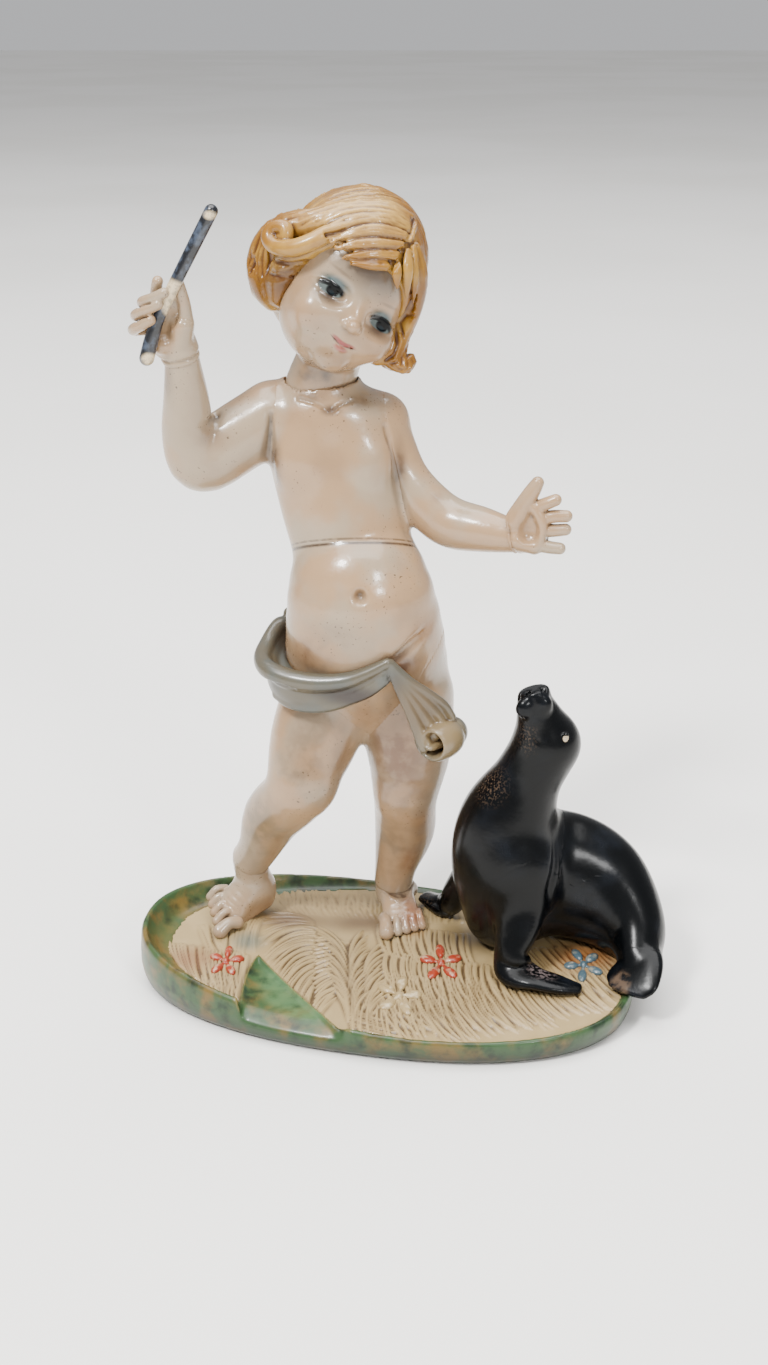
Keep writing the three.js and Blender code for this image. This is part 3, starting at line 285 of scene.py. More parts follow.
def segment_gap(at, along, length, wideway, deepway, first, last):
    """The distance function of one stretch of a tube."""

    def gap(x, y, z):
        x, y, z = x - at[0], y - at[1], z - at[2]
        run = x * along[0] + y * along[1] + z * along[2]
        share = np.clip(run / length, 0, 1)
        past = run - share * length
        wide = first[0] + (last[0] - first[0]) * share
        deep = first[1] + (last[1] - first[1]) * share
        across = x * wideway[0] + y * wideway[1] + z * wideway[2]
        outward = x * deepway[0] + y * deepway[1] + z * deepway[2]
        end = np.minimum(wide, deep)
        near = np.sqrt((across / wide) ** 2 + (outward / deep) ** 2 + (past / end) ** 2)
        far = np.sqrt((across / wide**2) ** 2 + (outward / deep**2) ** 2 + (past / end**2) ** 2)
        return (near * (near - 1) / (far + 1e-9)).astype(np.float32)

    return gap


# Meshing


def skin_of(clay):
    """The clay's surface: points in mm, one in each cell of voxels that it crosses, and quads."""
    for axis, side in itertools.product(range(3), (0, -1)):
        face = [slice(None)] * 3
        face[axis] = side
        clay.gap[tuple(face)] = np.maximum(clay.gap[tuple(face)], clay.voxel / 2)
    inside = clay.gap < 0
    filled = np.zeros(clay.count - 1, np.int8)
    for corner in itertools.product(PAIR, repeat=3):
        filled += inside[tuple(slice(c, n - 1 + c) for c, n in zip(corner, clay.count))]
    crossed = (filled > 0) & (filled < 8)
    number = np.full(crossed.shape, -1, np.int32)
    number[crossed] = np.arange(crossed.sum())
    at = np.argwhere(crossed)
    total, hits = np.zeros((len(at), 3)), np.zeros(len(at))
    for axis in range(3):
        for sides in itertools.product(PAIR, repeat=2):
            start = np.insert(sides, axis, 0)
            end = np.insert(sides, axis, 1)
            one = clay.gap[tuple((at + start).T)]
            other = clay.gap[tuple((at + end).T)]
            cross = (one < 0) != (other < 0)
            share = one[cross] / (one[cross] - other[cross])
            total[cross] += start + share[:, None] * (end - start)
            hits += cross
    points = clay.low + clay.voxel * (at + total / hits[:, None])
    quads = []
    for axis in range(3):
        u, w = (axis + 1) % 3, (axis + 2) % 3
        lower = [slice(None)] * 3
        upper = [slice(None)] * 3
        lower[axis], upper[axis] = slice(0, -1), slice(1, None)
        one, other = inside[tuple(lower)], inside[tuple(upper)]
        edges = np.argwhere(one != other)
        edges = edges[(edges[:, u] > 0) & (edges[:, w] > 0)]
        edges = edges[(edges[:, u] < clay.count[u] - 1) & (edges[:, w] < clay.count[w] - 1)]
        corners = []
        for back_u, back_w in ((1, 1), (0, 1), (0, 0), (1, 0)):
            cell = edges.copy()
            cell[:, u] -= back_u
            cell[:, w] -= back_w
            corners.append(number[tuple(cell.T)])
        ring = np.stack(corners, axis=1)
        outward = one[tuple(edges.T)]
        quads.append(np.where(outward[:, None], ring, ring[:, ::-1]))
    return points, np.concatenate(quads)


def largest_part(points, quads):
    """Drops crumbs, keeping the connected part with the most points."""
    label = np.arange(len(points))
    flat = quads.ravel()
    while True:
        before = label.copy()
        np.minimum.at(label, flat, np.repeat(label[quads].min(axis=1), 4))
        label = label[label]
        if (label == before).all():
            break
    main = np.bincount(label).argmax()
    kept = label == main
    number = np.cumsum(kept) - 1
    return points[kept], number[quads[kept[quads[:, 0]]]]


def relaxed(clay, points, quads):
    """Evens out the points and lays them back on the surface."""
    rounds, pull, farthest = 2, 0.6, 0.6 * clay.voxel
    half_steps = np.eye(3) * clay.voxel * 0.5
    ends = np.concatenate([quads[:, [i, (i + 1) % 4]] for i in range(4)])
    count = np.bincount(ends[:, 0], minlength=len(points))[:, None]
    for _ in range(rounds):
        mean = np.stack(
            [np.bincount(ends[:, 0], points[ends[:, 1], a], len(points)) for a in range(3)], axis=1
        )
        points = points + pull * (mean / count - points)
        ahead, behind = (
            np.stack([clay.sample(clay.gap, points + step) for step in steps], axis=1)
            for steps in (half_steps, -half_steps)
        )
        slope = (ahead - behind) / clay.voxel
        size = np.maximum((slope**2).sum(axis=1), 0.2)
        shift = np.clip(clay.sample(clay.gap, points) / size, -farthest, farthest)
        points = points - slope * shift[:, None]
    return points


def make_mesh(name, points, faces, more_faces=()):
    """A smooth-shaded object of points in metres and faces, given as rows of corners."""
    mesh = bpy.data.meshes.new(name)
    groups = [np.asarray(group, np.int32) for group in (faces, *more_faces)]
    corners = np.concatenate([group.ravel() for group in groups])
    sizes = np.concatenate([np.full(len(group), group.shape[1]) for group in groups])
    starts = np.concatenate([[0], np.cumsum(sizes)[:-1]]).astype(np.int32)
    mesh.vertices.add(len(points))
    mesh.vertices.foreach_set("co", np.asarray(points, np.float32).ravel())
    mesh.loops.add(len(corners))
    mesh.loops.foreach_set("vertex_index", corners)
    mesh.polygons.add(len(starts))
    mesh.polygons.foreach_set("loop_start", starts)
    mesh.update(calc_edges=True)
    mesh.validate()
    mesh.shade_smooth()
    made = bpy.data.objects.new(name, mesh)
    bpy.context.scene.collection.objects.link(made)
    return made


def set_mask(made, name, values):
    mask = made.data.attributes.new(name, "FLOAT", "POINT")
    mask.data.foreach_set("value", np.asarray(values, np.float32))


# The block that all pieces share, for the brown wash and the painted shade where pieces meet


class Room:
    """A coarse copy of the whole figurine, to find what is hollow between its pieces."""

    def __init__(self):
        low, high = (np.array(corner) / MM for corner in CAD_BOX)
        self.clay = Clay(low - 6, high + 6, 1)
        self.pieces = []

    def stamp(self, clay):
        """Copies a piece's distances into the room."""
        corners = [
            clay.low + np.array(corner) * (clay.count - 1) * clay.voxel
            for corner in itertools.product(PAIR, repeat=3)
        ]
        spots = np.array([clay.place @ Vector(corner) for corner in corners])
        window = self.clay.window(spots.min(axis=0), spots.max(axis=0))
        grid = np.stack(np.broadcast_arrays(*self.clay.axes(window)), axis=-1)
        back = np.array(clay.place.inverted())
        own = grid @ back[:3, :3].T + back[:3, 3]
        index = np.rint((own - clay.low) / clay.voxel).astype(int)
        known = ((index >= 0) & (index < clay.count)).all(axis=-1)
        found = np.full(known.shape, FAR, np.float32)
        found[known] = clay.gap[tuple(index[known].T)]
        self.clay.gap[window] = np.minimum(self.clay.gap[window], found)

    def wash(self):
        """Gives every piece its mask of hollows between pieces, where brown wash and painted shade
        are laid.
        """
        reach = 3.0
        field = softened(self.clay.gap, self.clay.voxel, reach)
        for made in self.pieces:
            points = np.zeros(len(made.data.vertices) * 3, np.float32)
            made.data.vertices.foreach_get("co", points)
            mean = self.clay.sample(field, points.reshape(-1, 3) / MM)
            set_mask(made, "hollow", np.clip(0.5 - 0.5 * mean / reach, 0, 1))


room = Room()


def finish_piece(name, clay, material, replaced, seams=(), fine=1.2):
    """Turns clay into a named piece that rides on the body and stands for its frame nodes.

    Each seam is a point, the way through it, how dark the dirt along it is, how round its edge,
    and how far the piece reaches under its neighbour with a lip.
    """
    crease = softened(clay.gap, clay.voxel, fine)
    for at, way, _, edge, lip in seams:
        clay.keep(at, way, edge, lip)
    points, quads = largest_part(*skin_of(clay))
    points = relaxed(clay, points, quads)
    room.stamp(clay)
    mean = clay.sample(crease, points)
    dirt = np.zeros(len(points))
    for at, way, dark, _, _ in seams:
        apart = (points - at) @ unit(way)
        dirt = np.maximum(dirt, dark * np.exp(-((apart / DIRT_WIDTH) ** 2)))
    place = np.array(clay.place)
    world = (points @ place[:3, :3].T + place[:3, 3]) * MM
    made = make_mesh(name, world, quads)
    set_mask(made, "crease", np.clip(0.5 - CREASE_GAIN * mean / fine, 0, 1))
    set_mask(made, "seam", dirt)
    adopt(made, material, replaced)


def adopt(made, material, replaced):
    """Gives a finished object its material, its body and the frame nodes that it stands for."""
    made.data.materials.append(material)
    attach(made, "root")
    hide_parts(*replaced)
    room.pieces.append(made)


def settings():
    return bpy.context.scene.putto_sizes


def paints():
    return bpy.context.scene.putto_colours


def voxel(size):
    return size * settings().detail * 1


# Skeleton, in mm

LEFT_ANKLE, LEFT_KNEE, LEFT_HIP = (2.2, 20, 15.65), (4.7, 14.8, 39.15), (5.9, 15.8, 61.9)
RIGHT_ANKLE, RIGHT_KNEE, RIGHT_HIP = (-29.8, 17, 22.8), (-18.6, 8.4, 43.9), (-12.7, 15.8, 61.9)
PELVIS, BELLY, WAIST = (-3.7, 14.8, 71.4), (-4.3, 10.3, 86.4), (-5.9, 13.9, 95.8)
CHEST, NECK, THROAT = (-9.5, 16.9, 114.2), (-11.3, 17.7, 128.6), (-10.05, 16.7, 134)
RIGHT_SHOULDER, RIGHT_ELBOW = (-22.8, 17.7, 123.5), (-38.9, 13.5, 115.1)
RIGHT_WRIST = (-39.3, 5.6, 137.1)
LEFT_SHOULDER, LEFT_ELBOW, LEFT_WRIST = (1.5, 17.7, 124.8), (10.2, 13.8, 103.4), (26.2, 5.8, 101.3)
# The two ends of the baton don't line up: it bends where the fist hides it
BATON = [
    ((-45.5, 0.6, 138.3), 1.45),
    ((-44.2, 0.4, 142.6), 1.4),
    ((-42.4, 0.1, 147), 1.2),
    ((-37.4, -0.8, 156.2), 1.25),
    ((-32, -1.3, 166), 1.3),
]
HEAD = (-7.45, 15.1, 149.8)
HEAD_PLACE = (
    Matrix.Translation(HEAD)
    @ Matrix.Rotation(math.radians(31), 4, "Y")
    @ Matrix.Rotation(math.radians(15), 4, "Z")
    @ Matrix.Rotation(math.radians(-4), 4, "X")
)

# Seams: a point and the way through it
WAIST_SEAM = (WAIST, (-0.02, 0.42, 0.9))
NECK_SEAM = (NECK, (0.1, -0.4, 0.9))
RIGHT_ARM_SEAM = ((-22.2, 17.7, 123.5), (-1, -0.05, 0.12))
LEFT_ARM_SEAM = ((1.2, 17.7, 120.4), (0.975, -0.05, 0.2))
GROIN = (-3.1, 14.8, 56.9)
LEFT_CREASE, RIGHT_CREASE = (0.82, 0, -0.57), (-0.74, 0, -0.67)
RIGHT_HAND_WAY, LEFT_HAND_WAY = (-0.18, -0.32, 1), (1, -0.42, 0.22)


def moved(at, *step):
    return tuple(a + s for a, s in zip(at, step))


def between(one, other, share, *step):
    at = tuple(a + (b - a) * share for a, b in zip(one, other))
    return moved(at, *step) if step else at


def away(seam, dark=0.0, back=False, edge=0.0, lip=0.0):
    """A seam as finish_piece takes it, turned round for the piece behind it."""
    at, way = seam
    return at, tuple(-w for w in way) if back else way, dark, edge, lip


# The base is an oval, a little squared, turned, and deeper at its right end
BASE_LENGTH, BASE_DEPTH = 108.5, 59.5
BASE_TURN = math.radians(-11.5)
SQUARENESS, TAPER = 2.25, 0.05
GROUND_FRONT, GROUND_RISE = 5.2, 4.6
RIM_FRONT, RIM_RISE = 6.2, 3.4
CURL_RISE = 4.6  # how much the rim is higher, and wider, where it curls up


def base_height(y):
    """Height of the grass's ground from front to back."""
    return GROUND_FRONT + GROUND_RISE * (y / BASE_DEPTH + 0.5)


# The child's body is one form, cut into the mouldings

EVEN = 1.5  # how far the body's forms are rubbed into each other, in mm


def model_body(clay):
    trunk = tube(
        [
            (moved(PELVIS, 0, 0.4, -5), 11.6, 9.2),
            (PELVIS, 16.8, 12.8),
            (moved(BELLY, -0.5, 0.2, 0), 15.4, 13.2),
            (moved(WAIST, -0.6, 0, 0), 12.5, 10),
            (between(WAIST, CHEST, 0.5, -0.6, 0, 0), 12.9, 9.9),
            (moved(CHEST, -0.6, 0, 0), 13.2, 9.5),
            (between(CHEST, NECK, 0.42, -0.8, 0, 0), 12.6, 8.2),
            (between(CHEST, NECK, 0.7, -0.8, 0, 0), 9.2, 6.8),
        ],
        steps=3,
    )
    clay.add(trunk)
    for side in (-1, 1):
        clay.add(ball(moved(PELVIS, side * 6.8, 6.6, -4), (9.6, 8.8, 9.5)), 6)
        clay.add(ball(moved(CHEST, side * 6.0 - 0.6, -5.2, 1.4), (6.2, 4.4, 6.4)), 3)
    collar = [
        (moved(RIGHT_SHOULDER, 0, 0, 0.2), 5.9), (moved(NECK, -1.4, 0.6, -4.6), 5.6),
        (moved(LEFT_SHOULDER, -1.6, 0, -2.4), 5.2),
    ]
    clay.add(tube(collar), 4)
    clay.add(ball(moved(CHEST, -1.4, -3.6, 9.4), (9.5, 4.6, 5.2)), 4)
    neck = [
        (moved(NECK, -2.4, 0.4, -6), 9.4, 7.4),
        (moved(NECK, -2, 0, -0.5), 7.3, 6.5),
        (moved(THROAT, -1.4, 0, 0), 6.6, 6.2),
        (between(THROAT, HEAD, 0.45), 6.2, 6.2),
    ]
    clay.add(tube(neck), 3)
    model_legs(clay)
    model_arms(clay)
    clay.rub(EVEN)
    body_folds(clay)


def neck_form():
    """The neck, from inside the chest up into the head."""
    return [
        (moved(NECK, -2.4, 0.4, -8), 8.4, 7),
        (moved(NECK, -2, 0, -0.5), 7.2, 6.4),
        (moved(THROAT, -1.4, 0, 0), 6.6, 6.2),
        (between(THROAT, HEAD, 0.45), 6.2, 6.2),
    ]


def neck_socket(clay):
    """Takes the neck out of the chest above their seam, and leaves the slope of the shoulders."""
    at, way = NECK_SEAM[0], unit(NECK_SEAM[1])
    window, neck = clay.gaps_to(tube(neck_form()), 4)
    above = sum(axis * n for axis, n in zip(clay.axes(window), way)) - float(np.dot(at, way))
    clay.gap[window] = -smooth_min(-clay.gap[window], np.maximum(neck - 0.2, -above), 0.5)


def model_legs(clay):
    left = [
        (moved(LEFT_HIP, 0, 0, 1), 9.2, 10.4),
        (between(LEFT_HIP, LEFT_KNEE, 0.45, 0.2, -0.5, 0), 9.2, 9.6),
        (LEFT_KNEE, 7, 7),
        (between(LEFT_KNEE, LEFT_ANKLE, 0.42, 1, 2, 0), 6.7, 6.8),
        (between(LEFT_KNEE, LEFT_ANKLE, 0.8), 4.8, 4.8),
        (between(LEFT_ANKLE, LEFT_KNEE, -0.1), 4.3, 4.5),
    ]
    right = [
        (moved(RIGHT_HIP, 0, 0, 1), 9.2, 10.4),
        (between(RIGHT_HIP, RIGHT_KNEE, 0.45, 0, -0.5, 0), 9.2, 9.6),
        (RIGHT_KNEE, 7.2, 7),
        (between(RIGHT_KNEE, RIGHT_ANKLE, 0.42, -1, 2, 0), 6.6, 6.6),
        (between(RIGHT_KNEE, RIGHT_ANKLE, 0.8), 4.8, 4.8),
        (between(RIGHT_ANKLE, RIGHT_KNEE, -0.1), 4.3, 4.5),
    ]
    clay.add(tube(left), 1.6)
    clay.add(tube(right), 1.6)
    clay.add(ball(moved(RIGHT_KNEE, 2.6, -2.6, 1.6), (5.4, 4.4, 5.6)), 3)
    clay.add(ball(moved(LEFT_KNEE, -1.2, -3.4, 1.4), (4.4, 3.6, 4.8)), 3)
    # The thighs are full on the inside, and lie against each other below the drape
    clay.add(tube([((-9.2, 12.4, 67), 6.6), ((-9.9, 11.8, 60), 6.2), ((-12.4, 10.8, 53), 5.4)]), 3)
    clay.add(tube([((1.4, 12.8, 67), 6.6), ((1.6, 12.6, 60), 6), ((2.8, 13, 52), 5.4)]), 3)
    clay.add(ball((-3.9, 14, 62.5), (4.2, 6.6, 5.4)), 3)


def body_folds(clay):
    """The folds at the groin, at both armpits and inside the right elbow."""
    for blend, *fold in (
        (
            2.2, ((14.6, 7.5, 84.6), 0.3), ((10.2, 3.4, 82.4), 0.5), ((5.6, 1.6, 79.6), 0.6),
            ((1, 1, 76), 0.6),
        ),
        (
            1.2, ((0.2, 11.2, 122.4), 0.2), ((1.6, 11, 115.6), 0.5), ((3.4, 10.6, 107.6), 0.6),
            ((5.4, 10.2, 100.4), 0.5),
        ),
        (
            1.6, ((-22.6, 11.2, 125), 0.2), ((-23, 11, 119.6), 0.5), ((-23.6, 11.6, 113.2), 0.7),
            ((-24, 14, 111), 0.5),
        ),
        (1.6, ((-36, 4.6, 122.4), 0.3), ((-34.6, 8, 123.6), 0.7), ((-33.6, 13, 124.4), 0.5)),
    ):
        clay.carve(tube(fold), blend)


def model_arms(clay):
    right = [
        (RIGHT_SHOULDER, 6.9),
        (between(RIGHT_SHOULDER, RIGHT_ELBOW, 0.5, 0, -0.4, -0.8), 7.2, 6.4),
        (moved(RIGHT_ELBOW, 1.8, 0, -0.2), 6.5, 5.9),
        (moved(RIGHT_ELBOW, -0.4, -1.6, 5.6), 5.5, 5.3),
        (between(RIGHT_ELBOW, RIGHT_WRIST, 0.62), 4.6, 4.5),
        (RIGHT_WRIST, 3.5, 3.3),
        (moved(RIGHT_WRIST, -0.4, -0.8, 3), 3.4, 3),
    ]
    left = [
        (moved(LEFT_SHOULDER, -2.2, -0.2, -2.4), 5.5),
        (moved(LEFT_SHOULDER, 0.6, -1, -8.6), 4.8),
        (moved(LEFT_SHOULDER, 3.4, -2.2, -14.4), 4.7),
        (moved(LEFT_ELBOW, -0.6, 0, 1.6), 5.1, 5.1),
        (moved(LEFT_ELBOW, 3.6, -1.6, -1.2), 5.3, 5.2),
        (between(LEFT_ELBOW, LEFT_WRIST, 0.6, 0, 0, -0.4), 4.7, 4.7),
        (LEFT_WRIST, 3.5, 3.3),
        (moved(LEFT_WRIST, 2.6, -1, 0.6), 3.4, 3),
    ]
    clay.add(tube(right, out=(0, 1, 0.1)), 1.6)
    clay.add(tube(left, out=(0, 1, 0.1)), 1.2)


def foot_clay(side):
    left = side == "left"
    ankle, knee = (LEFT_ANKLE, LEFT_KNEE) if left else (RIGHT_ANKLE, RIGHT_KNEE)
    ankle, knee = np.array(ankle, float), np.array(knee, float)
    forward = unit((0.12, -1, 0) if left else (-0.88, -0.47, 0))
    outer = unit((1, 0.2, 0) if left else (-0.42, 0.9, 0))
    # The right foot rolls inwards: its toes are higher, the little one the most
    rise_over_toes = 0.0 if left else 4.0
    reach = 10.6 if left else 8.2
    spread = 8.0 if left else 8.4
    heel = ankle - 2.2 * forward
    heel[2] = base_height(22) + 3 if left else base_height(17) + 6.5
    toe_line = heel + forward * reach + outer * (0.9 if left else -0.8)

    def tread(at, rise):
        return (at[0], at[1], base_height(at[1]) + rise)

    instep = (heel + toe_line) / 2
    instep[2] = (heel[2] + base_height(toe_line[1]) + 3) / 2 + (0.8 if left else 1.2)
    low = np.minimum.reduce([heel, toe_line]) - 12
    high = np.maximum.reduce([heel, toe_line]) + 12
    low[2], high[2] = 4, ankle[2] + 8
    clay = Clay(low, high, voxel(0.22))
    tilt = (0, 0, 1) if left else (0.1, -0.5, 0.9)
    ball_of_foot = np.array(tread(toe_line, 2.0 if left else 3.4))
    foot = [(heel, 3.5, 3.3), (instep, 3.8, 3.1), (ball_of_foot, 4.2 if left else 3.9, 1.9)]
    clay.add(tube(foot, out=tilt))
    if not left:
        sole = [(heel - (0, 0, 2.6), 3.2, 3), (np.array(tread(toe_line, 1.6)), 3.6, 1.8)]
        clay.add(tube(sole, out=tilt), 1.5)
    shank = [
        (ankle + 0.4 * (knee - ankle), 5.2, 5.4),
        (ankle + 0.15 * (knee - ankle), 4.4, 4.6),
        (ankle, 4.1, 4.3),
        (heel + 0.35 * (instep - heel), 3.4, 3.4),
    ]
    clay.add(tube(shank), 2.4)
    if left:
        clay.add(ball(ankle + np.array((4, 0.6, -2.4)), 1.5), 1.6)
    for i, place in enumerate((-0.5, -0.18, 0.06, 0.28, 0.49)):
        size = 1.6 if i == 0 else 1.08 - 0.04 * i
        lift = rise_over_toes * (place + 0.5)
        root = toe_line + outer * place * spread - forward * (0.4 + i * (0.35 if left else 0.1))
        middle = root + forward * 2.2
        tip = root + forward * (4.3 - i * 0.15) + outer * 0.12 * (i - 1)
        toe = [
            (tread(root, 2.2 + lift), size * 0.9), (tread(middle, 2.6 + lift), size * 0.86),
            (tread(tip, size * 0.85 + lift), size * 1.05),
        ]
        clay.add(tube(toe, steps=3), 0.12)
        nail = np.array(tread(tip, size * 1.55 + lift)) + forward * size * 0.35
        clay.add(ball(nail, (size * 0.45, size * 0.45, size * 0.3)), 0.2)
    for place in (-0.33, -0.06, 0.17, 0.385):
        lift = rise_over_toes * (place + 0.5)
        notch = toe_line + outer * place * spread + forward * 1.1
        end = tread(notch + forward * 2.6, 2.6 + lift)
        clay.carve(tube([(tread(notch, 3.9 + lift), 0.2), (end, 0.3)]), 0.3)
    if left:
        clay.crease(ankle + (knee - ankle) * 0.06, knee - ankle, 8, 0.3, 0.35)
    return clay, ankle, knee - ankle


def hand_clay(side):
    if side == "right":
        clay = Clay((-52, -6, 132), (-33, 11, 157), voxel(0.25))
        model_arms(clay)
        clay.rub(EVEN)
        clay.keep(RIGHT_WRIST, RIGHT_HAND_WAY, lip=2.0)
        palm = [
            (moved(RIGHT_WRIST, -0.3, -0.5, 1.5), 3.7, 3.1),
            ((-41, 5.2, 141), 4.3, 2.8),
            ((-42, 5.4, 145), 4.3, 2.2),
            ((-42.4, 4.8, 148.4), 3.6, 1.8),
        ]
        clay.add(tube(palm), 1.2)
        clay.add(tube([((-39, 3.2, 141.6), 2.2), ((-38.6, 2.4, 144.2), 2.3)]), 0.9)
        clay.add(ball((-42.6, 3, 140.4), (2.1, 1.9, 1.9)), 0.7)
        clay.carve(ball((-40.6, 1.2, 147.4), (1.7, 2.4, 3.2)), 0.8)
        thumb = [
            ((-38, 2.6, 145), 1.6), ((-38, 1.5, 148.4), 1.25), ((-38.5, 0.6, 151.2), 1.15),
            ((-38.8, 0.4, 152.9), 0.95),
        ]
        clay.add(tube(thumb), 0.35)
        fingers = [
            [(-43.6, 4.4, 147.6), (-43.5, 3.2, 150), (-43.2, 2.4, 151.6), (-42.9, 1.8, 152.7)],
            [
                (-44.2, 4.8, 148.2), (-46, 3.6, 148.4), (-45.6, 1.4, 149), (-43.4, -0.6, 150),
                (-41.4, -1.4, 151),
            ],
            [
                (-45, 4.8, 145.8), (-47.4, 3.6, 145.9), (-46.8, 1.2, 146.7), (-44.6, -0.8, 147.9),
                (-42.6, -1.3, 148.9),
            ],
            [
                (-45.4, 4.6, 143.2), (-48, 3.4, 143.2), (-47.4, 1.2, 144), (-45.6, -0.6, 145.1),
                (-44.2, -1.2, 145.9),
            ],
        ]
        for line in fingers:
            clay.add(tube([(at, 1.16 - 0.03 * i) for i, at in enumerate(line)], steps=3), 0.2)
        for x, z in ((-46.4, 147.3), (-47, 144.7)):
            groove = [
                ((x + 0.6, 3, z), 0.3), ((x, 0.6, z + 0.5), 0.35), ((x + 2.4, -1.4, z + 1.7), 0.3),
            ]
            clay.carve(tube(groove), 0.25)
        clay.crease(moved(RIGHT_WRIST, -0.2, -0.4, 1.2), RIGHT_HAND_WAY, 6, 0.35, 0.3)
        clay.carve(tube(BATON), 0)
        return clay
    clay = Clay((18, -4, 94), (41, 12, 117), voxel(0.25))
    model_arms(clay)
    clay.rub(EVEN)
    clay.keep(LEFT_WRIST, LEFT_HAND_WAY, lip=2.0)
    upright = (0.05, -1, 0.1)
    palm = [
        (moved(LEFT_WRIST, 0.4, -0.2, 0.1), 3.6, 3.1),
        ((28.4, 5.2, 102.8), 4.4, 2.4),
        ((30.6, 4.5, 103.8), 4.9, 1.9),
        ((31.6, 4.2, 104), 4.4, 1.6),
    ]
    clay.add(tube(palm, out=upright), 1.2)
    thumb = [
        ((26.2, 4.2, 104.8), 2.3), ((28, 3.6, 108.6), 1.85), ((29.6, 3.4, 111.4), 1.6),
        ((30.5, 3.3, 113), 1.3),
    ]
    clay.add(tube(thumb), 1)
    clay.add(tube([((26.6, 3.4, 101.2), 2), ((30.2, 2.9, 100), 1.7)]), 0.9)
    ridge = [
        ((30, 2.8, 108), 1.1), ((31.4, 2.3, 105.6), 1.15), ((31.4, 2.3, 102.6), 1.15),
        ((30.8, 2.5, 100.2), 1.3),
    ]
    clay.add(tube(ridge), 0.5)
    fingers = [
        [(30.2, 3.4, 107.7), (32.2, 2.6, 108.9), (34.1, 2.2, 109.8)],
        [(31.2, 3.2, 105.7), (34, 2.7, 106.3), (36.4, 2.4, 106.4)],
        [(31.4, 3.3, 103.2), (34, 2.9, 103.3), (36.3, 2.5, 103.6)],
        [(30.6, 3.1, 100.4), (33, 2.3, 100), (35.2, 1.7, 99.9)],
    ]
    for line in fingers:
        clay.add(tube([(at, 1.42 - 0.1 * i) for i, at in enumerate(line)], steps=3), 0.3)
    clay.carve(ball((28.9, 1.6, 103.2), (1.9, 1.8, 2.2)), 0.9)
    clay.crease(moved(LEFT_WRIST, 0.5, -0.2, 0.1), LEFT_HAND_WAY, 6, 0.35, 0.3)
    return clay


def detail_chest(clay):
    """The V of the neckline, and the place for the neck."""
    size = 0.42
    places = [
        (-17, 128.2), (-14.2, 127.7), (-12.2, 126.9), (-10.6, 125.8), (-8.8, 127), (-6.6, 127.8),
    ]
    line = [((x, clay.front(x, z) - size * 0.3, z), size) for x, z in places]
    clay.carve(tube(line, steps=3), 0.3)
    neck_socket(clay)


def detail_belly(clay):
    """The navel."""
    navel_x, navel_z = -4.8, 90.8
    navel_y = clay.front(navel_x, navel_z)
    clay.carve(ball((navel_x, navel_y - 0.1, navel_z), (1.25, 2, 1.4)), 1.2)


# Head and hair are modelled in the head's own frame, where the face looks along -Y


def head_clay():
    clay = Clay((-16, -18, -25), (16, 17, 18), voxel(0.25), HEAD_PLACE)
    own = HEAD_PLACE.inverted()
    clay.add(ball((0, 1.5, 2.5), (13, 13.8, 14)))
    clay.add(ball((0.2, -2.6, -5.8), (11.4, 10.4, 10.6)), 3)
    clay.add(tube([(own @ Vector(at), wide, deep) for at, wide, deep in neck_form()]), 1.2)
    for side in (-1, 1):
        clay.add(ball((0.5 + side * 6, -8.4, -6.2), (4.6, 4.2, 4.4)), 2)
    clay.add(ball((0.8, -9.6, -12.8), (3.4, 2.8, 2.6)), 2)
    face_features(clay)
    return clay


def on_face(clay, x, z, lift):
    return (x, clay.front(x, z) - lift, z)


